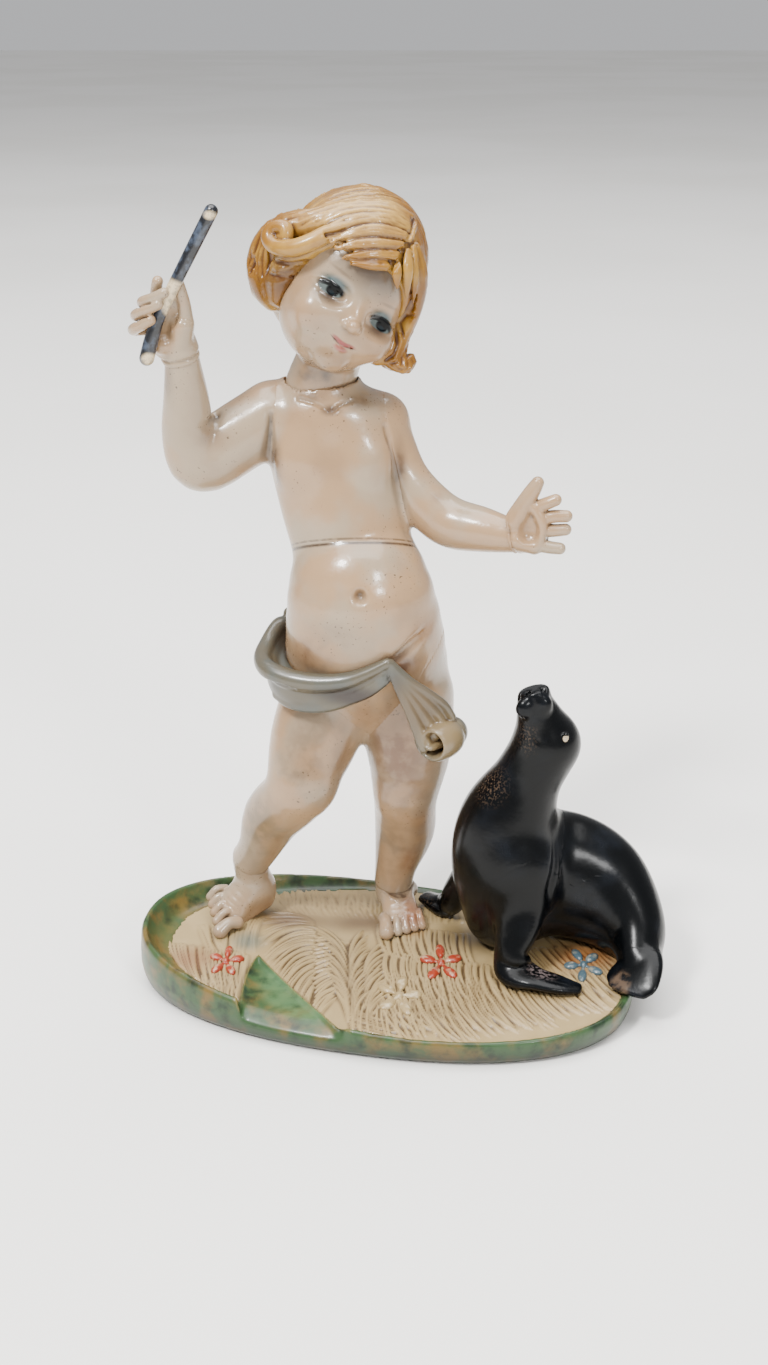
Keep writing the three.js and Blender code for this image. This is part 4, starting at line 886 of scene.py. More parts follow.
def face_features(clay):
    # Sockets first, so that the lids and the eyeballs sit in them
    for x, z in ((-5.7, -1), (6.2, -2.4)):
        clay.carve(ball(on_face(clay, x, z, 1), (3.6, 1.9, 2.2)), 1.6)
    bridge = [
        (on_face(clay, 0.4, -1, -1.3), 1), (on_face(clay, 0.5, -2.6, -0.8), 1.1),
        (on_face(clay, 0.7, -4, -0.1), 1.3),
    ]
    clay.add(tube(bridge), 1.8)
    tip = clay.front(0.75, -5.2)
    clay.add(ball((0.6, tip - 0.4, -5), (1.5, 1.7, 1.35)), 0.6)
    for x in (-0.9, 2.1):
        clay.add(ball((x, tip + 0.5, -5.4), (0.75, 1.1, 0.75)), 0.5)
    for middle, inner, outer, tilt in ((-5.8, -2.7, -9.2, 0), (6.1, 2.9, 9.4, -0.6)):
        z = -1.05 if middle < 0 else -2.45
        clay.add(ball((middle, clay.front(middle, z) + 1.25, z), (2.9, 1.8, 1.3)), 0.3)
        upper, lower = [], []
        for share in np.linspace(0, 1, 7):
            x = inner + (outer - inner) * share
            arch = math.sin(math.pi * share) ** 0.8
            rise = z + tilt * (share - 0.5)
            upper.append((on_face(clay, x, rise + 1.05 * arch - 0.2, -0.1), 0.38 + 0.26 * arch))
            lower.append((on_face(clay, x, rise - 1.0 * arch - 0.3, -0.1), 0.26 + 0.12 * arch))
        clay.add(tube(upper, steps=3), 0.25)
        clay.add(tube(lower, steps=3), 0.6)
    mouth = clay.front(1.2, -9.2)
    upper = [
        ((-2, mouth + 0.9, -8), 0.35), ((-0.5, mouth + 0.3, -8.5), 0.55),
        ((0.9, mouth + 0.1, -8.85), 0.55), ((2.3, mouth + 0.4, -8.8), 0.55),
        ((4, mouth + 1.3, -8.6), 0.32),
    ]
    lower = [
        ((-0.8, mouth + 0.7, -9.3), 0.4), ((1, mouth + 0.15, -10.1), 0.72),
        ((2.9, mouth + 1, -9.5), 0.4),
    ]
    clay.add(tube(upper, steps=3), 0.4)
    clay.add(tube(lower, steps=3), 0.4)
    split = [
        ((-2.3, mouth + 0.7, -8.2), 0.14), ((-0.6, mouth - 0.2, -9), 0.2),
        ((0.9, mouth - 0.5, -9.4), 0.22), ((2.4, mouth - 0.1, -9.2), 0.2),
        ((4.2, mouth + 1.1, -8.7), 0.14),
    ]
    clay.carve(tube(split, steps=3), 0.15)


CAP_CENTRE = np.array((0.2, 2.6, 3.4))
CAP = np.array((14.8, 15.3, 16.7))


def hair_clay():
    clay = Clay((-23, -20, -20), (22, 21, 21), voxel(0.3), HEAD_PLACE)
    clay.add(ball(CAP_CENTRE, CAP))
    clay.add(ball((0, 5.8, -4.6), (12.6, 10.6, 10)), 2)
    opening = [((0.5, -14, -4.2), 11.6, 13), ((0.5, -14, -10), 11.2, 13), ((0.5, -14, -22), 12, 13)]
    clay.carve(tube(opening), 0.8)
    model_curls(clay)
    model_side_fall(clay)
    model_fringe(clay)
    hem(clay)
    comb_hair(clay)
    clay.carve(ball((0, -1, -0.5), (11.4, 11.8, 11.6)), 0.3)
    return clay


def lifted(line, lift):
    """Places on the cap, moved away from its middle."""
    return [CAP_CENTRE + (np.array(at) - CAP_CENTRE) * lift for at in line]


def locks(clay, lines, sizes, lift, blend):
    """Raised locks, each along its own line over the cap, tapering towards its tip."""
    for line, size in zip(lines, sizes):
        line = lifted(line, lift)
        taper = np.interp(np.linspace(0, 1, len(line)), (0, 0.3, 0.75, 1), (0.6, 1, 0.9, 0.3))
        body = [
            (at, size * t, size * t * 0.62, tuple(at - CAP_CENTRE)) for at, t in zip(line, taper)
        ]
        clay.add(tube(body), blend)


FRINGE = [
    [(1.3, -12, 7.8), (-2.1, -12.1, 6.8), (-5.4, -11.5, 5)],
    [(2.3, -11, 10.3), (-1.8, -11.7, 8.4), (-5.1, -11.4, 6), (-6.6, -11, 4.9)],
    [(2.3, -9.9, 12.1), (-2.5, -11, 10), (-6, -10.5, 8), (-8.4, -9.6, 5.9)],
    [(2.9, -8.6, 13.6), (-2.8, -9.7, 12.1), (-6.3, -9.6, 9.8), (-9.2, -8.9, 6.3)],
    [(3.2, -7.2, 14.9), (-1.8, -7.9, 14.5), (-6.9, -7.9, 11.8), (-10.5, -7.3, 7.2)],
    [
        (3.2, -5.1, 16.5), (-2.1, -5.9, 16.1), (-7.4, -5.9, 13.6), (-11.4, -4.3, 9.7),
        (-14, -2.4, 5.4),
    ],
    [(4, -0.4, 18.2), (-0.8, -1.4, 18.6), (-6.7, -2.4, 16.2), (-11.4, -1.5, 12), (-14.8, 0.8, 6)],
    [(4, 4.7, 18.6), (-0.5, 5, 19), (-6.6, 4.7, 17), (-11.6, 4.8, 12.8), (-14.9, 5.4, 6.2)],
]


def model_fringe(clay):
    locks(clay, FRINGE[:4], (1.4, 1.5, 1.7, 1.7), 1.085, 0.2)
    locks(clay, FRINGE[4:6], (2.6, 3), 1.05, 1.2)
    wisps = [
        [(2, -11.2, 9.6), (2.9, -12.2, 7.4), (4.3, -12.2, 5.2)],
        [(3.6, -9.6, 11.6), (4.9, -11, 8.6), (7.2, -10.9, 4.4)],
        [(4.6, -8.4, 12.6), (7.4, -9.2, 8.6), (9.8, -8.8, 4)],
        [(5.4, -7.4, 13.2), (9.2, -8, 9), (11.8, -7.4, 3), (12.6, -7.6, -1.6)],
    ]
    locks(clay, wisps, (1.1, 1.3, 1.5, 1.6), 1.085, 0.2)
    parting = [
        (5, 3, 18.4), (3.8, -1.8, 17.8), (3, -7.4, 14.8), (2.6, -9.2, 13), (2.4, -11.1, 9.9),
        (1.5, -12.3, 7.2),
    ]
    sizes = (0.25, 0.35, 0.5, 0.55, 0.55, 0.5)
    clay.carve(tube(zip(lifted(parting, 1.11), sizes)), 0.4)


def model_curls(clay):
    """The two rolled curls at the right temple: a ring in front of a fat roll."""
    roll = [
        ((-12.6, -3, 8), 2.8),
        ((-15.6, 0.4, 4.4), 3.4),
        ((-16.4, 3.4, 0.4), 3.9),
        ((-15.4, 4, -4), 4.1),
        ((-12.8, 2.4, -7.2), 3.8),
        ((-11.2, 1.6, -9), 2.6),
    ]
    clay.add(tube(roll), 1)
    under = [
        ((-11.8, -5.4, 3.4), 2.4), ((-13.2, -3.6, -0.6), 3), ((-12.8, -1.6, -4.4), 2.9),
        ((-11.2, -0.6, -7.6), 2.4),
    ]
    clay.add(tube(under), 0.8)
    cheek = [
        ((-8.4, -10.4, 5.6), 1.8), ((-8.8, -9.4, 2), 3), ((-8.2, -6.6, -3.6), 3.6),
        ((-7.6, -3.8, -8), 3.6),
    ]
    clay.carve(tube(cheek), 0.6)
    ring = [
        ((-9.8, -7.8, 9.4), 1.3),
        ((-11.6, -8.6, 6.8), 1.7),
        ((-13.4, -8.4, 4.2), 1.7),
        ((-15.4, -7, 1.8), 1.7),
        ((-17.6, -4.4, 0.4), 1.6),
        ((-19, -2.4, 1.2), 1.6),
        ((-19, -2.2, 3.2), 1.6),
        ((-17.6, -3.8, 4.2), 1.5),
        ((-16.8, -4.8, 3), 1.3),
        ((-17.4, -3.8, 2.2), 1.1),
    ]
    clay.add(tube(ring, steps=5), 0.3)
    for line in (
        [(-11.7, -9, 2.7), (-14.4, -6.9, -1.2), (-17.4, -2.4, -2.6), (-19.6, 1.2, -1.8)],
        [(-12, -7, -1.2), (-14.4, -5.2, -4.2), (-17, -0.9, -5.6), (-19, 2.9, -4.8)],
    ):
        clay.carve(tube([(at, 0.5) for at in line]), 0.8)


def model_side_fall(clay):
    """The hair beside the left cheek, which flicks out at the bottom."""
    fall = [
        ((8.8, -6.8, 9.6), 1.6, 3),
        ((11.6, -5.6, 4.6), 1.8, 3.6),
        ((12.4, -5, 0), 2, 4),
        ((12.4, -5.4, -4.4), 2.4, 4.2),
        ((13.2, -6.6, -7.2), 2.4, 3.8),
        ((15.6, -8, -7.2), 1.7, 3),
        ((17, -8.6, -5.6), 1, 2.2),
    ]
    clay.add(tube(fall, out=(0.3, -1, 0)), 0.8)
    clay.add(tube([((11.6, -7.4, -4), 1.8), ((11, -8.2, -7.4), 1.8), ((10.2, -8.2, -9), 1.2)]), 0.8)


def hem(clay):
    """The rolled-under lower edge, from the left side round the nape."""
    line = []
    for angle in np.linspace(-12, 168, 10):
        turn = math.radians(angle)
        side = np.array((math.cos(turn), math.sin(turn), 0))
        line.append((np.array((0.2, 3.6, -8.6)) + side * (13.2, 12.6, 0), 2.7))
    clay.add(tube(line), 2)


STRAND_POINTS = 15
DEEP = 0.6  # a groove that is deeper, in mm, parts two locks


def strand(guide):
    """A guide line of the comb, as STRAND_POINTS points."""
    line = spline(guide, 12)
    return line[np.linspace(0, len(line) - 1, STRAND_POINTS).astype(int)]


def on_hair(clay, at, out):
    """A point of the hair's surface above a place in the cap, moved out by some mm."""
    way = unit(at - CAP_CENTRE)
    return clay.leaving(CAP_CENTRE, way) + way * out


def comb_hair(clay):
    """Presses the strands of the comb into the hair, along lines fanned between guide lines."""
    rng = np.random.default_rng(7)
    right_fall = [
        [(4.6, -8.4, 12.6), (7.4, -9.2, 8.6), (9.8, -8.8, 4), (11.2, -8.6, -1), (10.4, -9.2, -7.6)],
        [
            (4.4, -7.3, 14.4), (8.6, -8.4, 9.3), (12.2, -7.4, 3.4), (13.2, -8.2, -3.6),
            (13.6, -10, -8.4),
        ],
        [(4.7, -5, 16.1), (10.2, -5.4, 12), (14, -4.9, 6), (15, -6.4, -2), (17.4, -9.4, -6.8)],
        [(4.8, -1, 17.6), (11.4, -0.8, 12.8), (15, -0.4, 5), (15.4, -0.8, -3), (14.8, -1.8, -9.6)],
        [(4.8, 4, 18), (11.2, 5.4, 13), (14.6, 6.2, 5), (14.8, 6.4, -3), (13, 6.8, -9.8)],
    ]
    back = []
    for angle in np.linspace(20, 190, 8):
        c, s = math.cos(math.radians(angle)), math.sin(math.radians(angle))
        guide = [(0.5 + 2 * c, 6 + 2 * s, 18.4)]
        for share, z in ((0.62, 14.4), (0.93, 7.4), (1, 0), (0.95, -4.6)):
            guide.append((15 * share * c, 3 + 15 * share * s, z))
        back.append(guide)
    roll = [
        [
            (-13.4, -5.4, 8.4), (-16.6, -2.2, 4.6), (-17.6, -0.6, 0.4), (-16.4, -0.8, -4),
            (-13.4, -2, -7),
        ],
        [(-12.6, 0.4, 10), (-17, 2.6, 5.6), (-18.8, 4.2, 0), (-17.4, 4.4, -5), (-13.6, 2.6, -8.6)],
        [(-12, 5.6, 11), (-15.8, 6.6, 5), (-16.8, 7.4, -1), (-15.6, 7.4, -6), (-12.6, 6.4, -9.6)],
    ]
    under = [
        [(-10.8, -8.8, 3.4), (-13.8, -6.4, -0.4), (-17, -1.8, -2)],
        [(-11.4, -6.6, -2), (-13.6, -4.6, -4.8), (-16, -0.6, -6.2)],
    ]
    grooves = []
    for guides, count, depth, wide in (
        (FRINGE[:5], 20, 0.4, 0.38),
        (FRINGE[4:], 26, 0.4, 0.42),
        (right_fall, 34, 0.45, 0.42),
        (right_fall[:4], 7, 0.7, 0.5),
        (back, 46, 0.36, 0.42),
        (back, 13, 0.7, 0.5),
        (roll, 16, 0.45, 0.42),
        (under, 7, 0.5, 0.42),
    ):
        rows = np.array([strand(guide) for guide in guides])
        for i in range(count):
            share = (i + rng.uniform(0.2, 0.8)) / count * (len(rows) - 1)
            low = min(int(share), len(rows) - 2)
            line = rows[low] + (rows[low + 1] - rows[low]) * (share - low)
            first, last = rng.integers(0, 3), STRAND_POINTS - rng.integers(0, 3)
            if depth > DEEP:
                first, last = rng.integers(2, 6), STRAND_POINTS
            line = line[first:last]
            swell = np.linspace(0.15, np.pi - (0.8 if depth > DEEP else 0.2), len(line))
            deep = depth * rng.uniform(0.6, 1.2) * np.sin(swell) ** 0.8
            stations = [(on_hair(clay, at, wide - cut), wide) for at, cut in zip(line, deep)]
            grooves += tube(stations, steps=1)
    # The gaps between the locks of the fringe widen towards their tips
    for upper, lower in itertools.pairwise(FRINGE[:5]):
        middle = strand(upper) * 0.5 + strand(lower) * 0.5
        stations = []
        for at, share in zip(middle, np.linspace(0, 1, STRAND_POINTS)):
            wide = 0.3 + 0.3 * share**2
            stations.append((on_hair(clay, at, wide - 0.4 - 0.6 * share), wide))
        grooves += tube(stations, steps=1)
    clay.carve(grooves, 0.2)


# Drape, baton and seal


def drape_clay():
    clay = Clay((-33, -10, 50), (24, 35, 84), voxel(0.32))
    wide, deep = 17.5, 13.5

    def round_hips(angle, out_x, out_y, rise):
        turn = math.radians(angle)
        return moved(PELVIS, math.cos(turn) * (wide + out_x), math.sin(turn) * (deep + out_y), rise)

    back = [
        round_hips(48, -0.4, 2, 5.6), round_hips(75, 0.6, 3, 5), round_hips(115, 1, 3.4, 4),
        round_hips(152, 1.2, 2.4, 4.6),
    ]
    outside, inside, upper_edge = [], [], []
    for i, at in enumerate(back):
        way = tuple(np.subtract(at, PELVIS))
        outside.append((at, 3.6 + 0.4 * i, 1.2, way))
        inside.append((between(at, moved(PELVIS, 0, 0, 4), 0.14), 3.2 + 0.4 * i, 2.4, way))
        upper_edge.append((moved(at, 0, 0, 2.4 + 0.2 * i), 1.5))
    clay.add(tube(outside, steps=8))
    clay.add(tube(inside, steps=8), 0.6)
    clay.add(tube(upper_edge), 0.6)
    roll = [
        (back[-1], 2.2),
        ((-22.4, 19.5, 77.2), 1.8),
        ((-24.6, 15, 74.9), 1.8),
        ((-25.5, 10, 73.4), 1.9),
        ((-23.9, 5.2, 72.6), 2),
        ((-19.4, 2.4, 71.6), 2.1),
        ((-13.6, 0.6, 71.4), 2),
        ((-7.8, -0.6, 72.3), 1.8),
        ((-3.2, -1.4, 74.3), 1.5),
        ((0.6, -1.8, 76.6), 1.1),
    ]
    clay.add(tube(roll, steps=8), 0.6)
    band = [
        (-17.6, 24.2, 75.6), (-20.6, 20.6, 73.4), (-22.6, 15, 71), (-23.2, 10.5, 70), (-22, 6, 69),
        (-18.6, 3, 68.2), (-13.4, 1.4, 67.8), (-8.4, 0.2, 69), (-4, -0.9, 71.6), (-0.4, -1.5, 74.4),
    ]
    sizes = (4, 3.9, 3.6, 3.6, 3.5, 3.3, 2.9, 2.4, 1.9, 1.2)
    band = [(at, size, 1.4, (at[0] + 4, at[1] - 14, -2)) for at, size in zip(band, sizes)]
    clay.add(tube(band, steps=8), 0.7)
    pocket = [
        ((-20.6, 21, 71.4), 3), ((-21.4, 15, 70), 3.4), ((-20.6, 9, 68.6), 3.4),
        ((-17, 5.4, 67.6), 3.2), ((-12, 4.2, 67.4), 2.6),
    ]
    clay.add(tube(pocket), 1)
    lower_edge = [
        (-22.4, 6.6, 66.4), (-19.8, 4.2, 65.4), (-15.8, 2.2, 65.2), (-11.2, 0.8, 66),
        (-6.8, -0.4, 68), (-3, -1.2, 70), (0.2, -1.6, 72.8),
    ]
    clay.add(tube([(at, 1) for at in lower_edge]), 0.6)
    for fold in (
        [
            ((-14, -1.2, 68.8), 0.3), ((-10.4, -1.9, 69.2), 0.7), ((-6.4, -2.4, 70.8), 0.8),
            ((-3, -2.9, 72.8), 0.7), ((0.2, -3, 75), 0.4),
        ],
        [((-23, 2.2, 69.8), 0.4), ((-18.4, 0, 68.9), 0.6), ((-13, -1.2, 67.6), 0.3)],
        [((-25.6, 7, 71), 0.4), ((-22.8, 2.8, 70.6), 0.5), ((-18.6, 0.2, 70.1), 0.3)],
    ):
        clay.carve(tube(fold), 0.6)
    left_edge = [
        (0.8, -1.6, 76.4), (2.9, -1.9, 71), (5.2, -2.1, 65.6), (7.2, -2.6, 60.4), (8.2, -3.2, 58.2),
    ]
    right_edge = [
        (1.4, -1.6, 76.6), (5.4, -1.2, 72.6), (9.2, -0.8, 69.8), (12.4, -0.2, 67), (14, 0.6, 64),
    ]
    for i, share in enumerate(np.linspace(0, 1, 8)):
        wave = 0.32 * (-1) ** i
        line = [
            between(a, b, share, 0, wave * k / 3, 0)
            for k, (a, b) in enumerate(zip(left_edge, right_edge))
        ]
        clay.add(tube([(at, 0.75 + 0.06 * k) for k, at in enumerate(line)]), 0.35)
    scroll_end(clay)
    # The cloth is hollow where the body stands in it
    body = Clay(clay.low, clay.low + (clay.count - 1) * clay.voxel, clay.voxel)
    model_body(body)
    clay.cut(body.gap[tuple(slice(0, n) for n in clay.count)] - 0.1, 0.1)
    return clay


def scroll_end(clay):
    """The lower end of the cloth, rolled up on itself: down, forward and over into the middle."""
    axis = np.array((0.6, 0.8, 0))
    side = np.array((0.8, -0.6, 0))
    up = np.array((0, 0, 1))
    middle = np.array((10.2, -3.9, 60.2)) + axis * 3.0
    turns = []
    for share in np.linspace(0, 1, 34):
        angle = math.radians(190 + 440 * share)
        radius = 4.4 - 3.0 * share
        outward = math.cos(angle) * side + math.sin(angle) * up
        at = middle + outward * radius - axis * 0.8 * share
        turns.append((at, 3.6, 0.95 - 0.15 * share, tuple(outward)))
    clay.add(tube(turns, steps=1), 0.15)
    clay.add(tube([(middle + axis * 2.2, 2.6), (middle + axis * 3.4, 3.4)]), 0.3)


SEAL_SHIFT = 1.4  # how far the seal stands to the right of the places in its tables, in mm


def on_seal(x, y, rise):
    return (x + SEAL_SHIFT, y, base_height(y) + rise)


def seal_tube(rows, **form):
    """A tube through rows of x, y and rise on the seal, and what else a station has."""
    return tube([(on_seal(*row[:3]), *row[3:]) for row in rows], **form)


def model_seal(clay):
    front = [
        (25, 6.4, 8, 9, 9),
        (24.4, 5.2, 20, 11.2, 11.2),
        (25, 4.6, 30, 10.4, 10.1),
        (28.6, 3.8, 40, 7.5, 7.5),
        (32.8, 3, 49, 7.1, 7),
    ]
    clay.add(seal_tube(front, steps=10))
    rear = [
        (28, 7, 16, 9.5, 13.8),
        (37.6, 8.6, 15.2, 10.4, 14.4),
        (46.6, 6.6, 11.4, 9.5, 12.6),
        (52.6, -0.6, 7.2, 6.8, 8.2),
        (52.8, -8, 4.8, 4.4, 4.6),
    ]
    clay.add(seal_tube(rear, steps=10, out=(0, 0, 1)), 5)
    clay.add(ball(on_seal(27.6, -2.2, 21), (7.6, 5.2, 9)), 4)
    snout = [(32.6, 3, 50, 6.4), (30.8, 1.8, 56, 4.7), (29.8, 1.4, 59, 3.8), (29.6, 1, 61.4, 3.5)]
    clay.add(seal_tube(snout, steps=8), 2)
    clay.rub(2.2)
    flat_at, flat_way = on_seal(29.6, 1, 62.6), (0.28, -0.1, -1)
    clay.keep(flat_at, flat_way, 0.9)
    for side in (-1, 1):
        clay.carve(ball(on_seal(29.8 + side * 1.5, -0.6, 62.4 + side * 0.5), (0.6, 0.8, 0.7)), 0.4)
        clay.add(ball(on_seal(29.4 + side * 1.9, -1.6, 59.6 + side * 0.4), (1.9, 1.4, 2.2)), 0.7)
    mouth = [
        (26.4, 0.4, 61.2, 0.3), (26.6, -1.4, 58.4, 0.35), (28.2, -2.8, 55.4, 0.3),
        (30.4, -3.6, 52.6, 0.2),
    ]
    clay.carve(seal_tube(mouth), 0.5)
    clay.carve(ball(on_seal(36.1, -3.4, 53.8), (0.75, 1.2, 0.85)), 0.4)
    clay.add(ball(on_seal(36.1, -2.5, 53.8), (0.6, 0.7, 0.65)), 0.2)
    model_near_flipper(clay, 2.5)
    model_far_flipper(clay, 1.5)
    model_fluke(clay, 1)
    # The fold behind the shoulder, the one at the haunch and the hollow under the flank
    shoulder = [
        (35.8, -1, 30, 0.2), (35, -4.2, 25, 0.35), (33.6, -5.2, 20, 0.4), (34.2, -5.2, 15, 0.4),
    ]
    clay.carve(seal_tube(shoulder), 1.6)
    clay.carve(seal_tube([(50.6, -3.6, 21, 0.3), (48.6, -6.4, 14, 0.6), (47, -6, 9, 0.6)]), 1.6)
    clay.carve(seal_tube([(34.6, -5, 2, 2.2), (42, -4.2, 2, 2.6), (46.4, -4.4, 1.5, 1.8)]), 2)


SEAL_SEAM = (on_seal(34.5, 8, 20), (0.97, 0.05, -0.22))
NEAR_SHOULDER = (on_seal(27, -3.4, 17), (0.2, -0.9, -0.3))
FAR_SHOULDER = (on_seal(17.4, 11.4, 15), (-0.72, 0.62, -0.3))
FLUKE_SEAM = (on_seal(53.4, -9.6, 4.6), (-0.2, -1, -0.1))


def model_near_flipper(clay, blend):
    arm = [
        (29, -0.6, 19, 5.6, 4.6, (0, -1, 0)),
        (27.6, -5.2, 12.4, 4.8, 3.6, (-0.3, -1, 0)),
        (25.6, -7.4, 6.4, 4.2, 3, (-0.8, -0.5, 0.5)),
        (26.4, -9.4, 3.2, 4.2, 2.4, (-0.4, -0.2, 1)),
        (30.4, -11.2, 2.2, 4.4, 1.8, (0, 0.1, 1)),
        (35.4, -12.6, 1.6, 3.7, 1.4, (0, 0.1, 1)),
        (39.6, -13.4, 1.1, 2.1, 0.9, (0, 0.1, 1)),
    ]
    clay.add(seal_tube(arm, steps=10), blend)
    for i in range(3):
        groove = [(33, -14.2 + 1.7 * i, 3.9, 0.3), (40.4, -14.9 + 1.4 * i, 2.4, 0.3)]
        clay.carve(seal_tube(groove), 0.5)


def model_far_flipper(clay, blend):
    arm = [
        (19.4, 9.6, 17, 4.4, 4),
        (15.2, 13.4, 8, 3.4, 3),
        (13.6, 15.6, 3.4, 2.8, 2.4),
        (10.8, 18.6, 2, 3.2, 1.7, (0, 0.1, 1)),
        (8.4, 21.4, 1.4, 2.4, 1.2, (0, 0.1, 1)),
    ]
    clay.add(seal_tube(arm, steps=10), blend)


def model_fluke(clay, blend):
    fluke = [
        (53.8, -7, 5.2, 4.2, 3.8, (-0.6, -0.6, 0.5)),
        (52.8, -11, 4.8, 5.4, 2.3, (-0.6, -0.6, 0.6)),
        (50.8, -14, 3.2, 6, 1.3, (-0.5, -0.6, 0.7)),
        (49.6, -15.6, 2, 4.6, 0.8, (-0.4, -0.6, 0.8)),
    ]
    clay.add(seal_tube(fluke, steps=10), blend)


def cut_to_ground(clay, lift=0.12, blend=0.2):
    """Takes away what would stand in the base."""
    _, y, z = clay.axes()
    clay.cut(z - (base_height(y) + lift), blend)


# Base


def base_outline():
    angle = np.linspace(0, 2 * math.pi, 240, endpoint=False)
    c, s = np.cos(angle), np.sin(angle)
    k = (np.abs(c) ** SQUARENESS + np.abs(s) ** SQUARENESS) ** (-1 / SQUARENESS)
    x, y = c * k * (BASE_LENGTH / 2), s * k * (BASE_DEPTH / 2) * (1 + TAPER * c * k)
    turn_c, turn_s = math.cos(BASE_TURN), math.sin(BASE_TURN)
    return np.stack([x * turn_c - y * turn_s, x * turn_s + y * turn_c], axis=1)


def plan_distance(x, y, outline):
    """Distance in plan from each point to a closed outline, negative inside it."""
    a = np.array(outline, np.float32)
    b = np.roll(a, -1, axis=0)
    best = np.full(x.shape, 1e9, np.float32)
    inside = np.zeros(x.shape, bool)
    for (ax, ay), (bx, by) in zip(a, b):
        ex, ey = bx - ax, by - ay
        share = np.clip(((x - ax) * ex + (y - ay) * ey) / (ex * ex + ey * ey + 1e-9), 0, 1)
        best = np.minimum(best, (x - ax - ex * share) ** 2 + (y - ay - ey * share) ** 2)
        crosses = (ay > y) != (by > y)
        inside ^= crosses & (x < ax + ex * (y - ay) / (ey if abs(ey) > 1e-9 else 1e-9))
    return np.where(inside, -1, 1) * np.sqrt(best)


def lip_curl(x, y):
    """From 0 to 1, how far the rim curls up towards the left end."""
    turn, spread = -BASE_TURN, 1.15
    along = x * math.cos(turn) - y * math.sin(turn)
    across = x * math.sin(turn) + y * math.cos(turn)
    angle = np.arctan2(across / (BASE_DEPTH / 2), along / (BASE_LENGTH / 2))
    offset = np.abs(np.mod(angle, 2 * math.pi) - math.pi)
    return np.maximum(0, np.cos(np.minimum(offset / spread, math.pi / 2))) ** 1.3


LEAF_TIP = (-27.4, 0.2)


def bow(start, pull, end, count):
    """A curve in plan from start to end, drawn towards a third point, as so many points."""
    t = np.linspace(0, 1, count)[:, None]
    return (1 - t) ** 2 * start + 2 * t * (1 - t) * pull + t**2 * end


def leaf_outline():
    tip = np.array(LEAF_TIP)
    left = bow(tip, tip + (-4.6, -9), tip + (-2, -26), 14)
    right = bow(tip + (21, -30), tip + (7.5, -13), tip, 14)
    return np.vstack([left, right[:-1]])


def leaf_field(x, y):
    """Distance into the leaf, and the height of its blade over the ground there."""
    inside = -plan_distance(x, y, leaf_outline())
    ridge = 0.75 * np.exp(-(((inside - 0.35) / 0.55) ** 2))
    return inside, ridge - 0.25 * np.clip((inside - 1) / 3, 0, 1)


def tray_clay():
    clay = Clay((-57, -35, -1), (57, 35, 16), voxel(0.48))
    x, y, z = clay.axes()
    plan_x, plan_y = np.broadcast_arrays(x, y)
    plan_x, plan_y = plan_x[:, :, 0], plan_y[:, :, 0]
    inset = -plan_distance(plan_x, plan_y, base_outline())
    curl = lip_curl(plan_x, plan_y)
    ground = base_height(plan_y)
    rim = RIM_FRONT + RIM_RISE * (plan_y / BASE_DEPTH + 0.5) + CURL_RISE * curl
    # In from the edge, the rim falls from its crest into the pocket that the grass slab fills
    pocket = 2.4 + CURL_RISE * curl
    crest = 0.9 + 0.5 * curl
    share = np.clip((inset - crest) / (pocket - crest), 0, 1)
    top = ground - 0.3 + (rim - ground + 0.3) * (1 - share) ** (1.7 + 0.8 * curl)
    top = np.where(inset < crest, rim - 0.5 * (1 - inset / crest) ** 2, top)
    blade_low, blade_high = leaf_field(plan_x, plan_y)
    shoulder = np.clip(1 - inset / 4.5, 0, 1) ** 2 * 2.2
    blade = ground + 0.45 + blade_high - shoulder
    inner = np.where(inset > pocket, ground - 2, top)
    share = np.clip(blade_low / 0.5 + 0.5, 0, 1)
    floor = inner + (np.maximum(blade, np.where(inset > 4, inner, -9)) - inner) * share
    floor = np.where(inset > pocket + 1.5, np.maximum(floor, 3), floor)
    slope = np.hypot(*np.gradient(floor, clay.voxel))
    upper = (z - floor[:, :, None]) / np.sqrt(1 + np.minimum(slope, 2) ** 2)[:, :, None]
    wall = np.interp(z.ravel(), (-1, 0, 1.2, 3, 5, 8, 14), (3, 2.2, 1, 0.35, 0, 0, 0.5))
    outer = wall[None, None, :] - inset[:, :, None]
    gap = -smooth_min(-upper, -outer, 0.7)
    clay.gap = -smooth_min(-gap, np.broadcast_to(z, gap.shape), 0.2).astype(np.float32)
    return clay


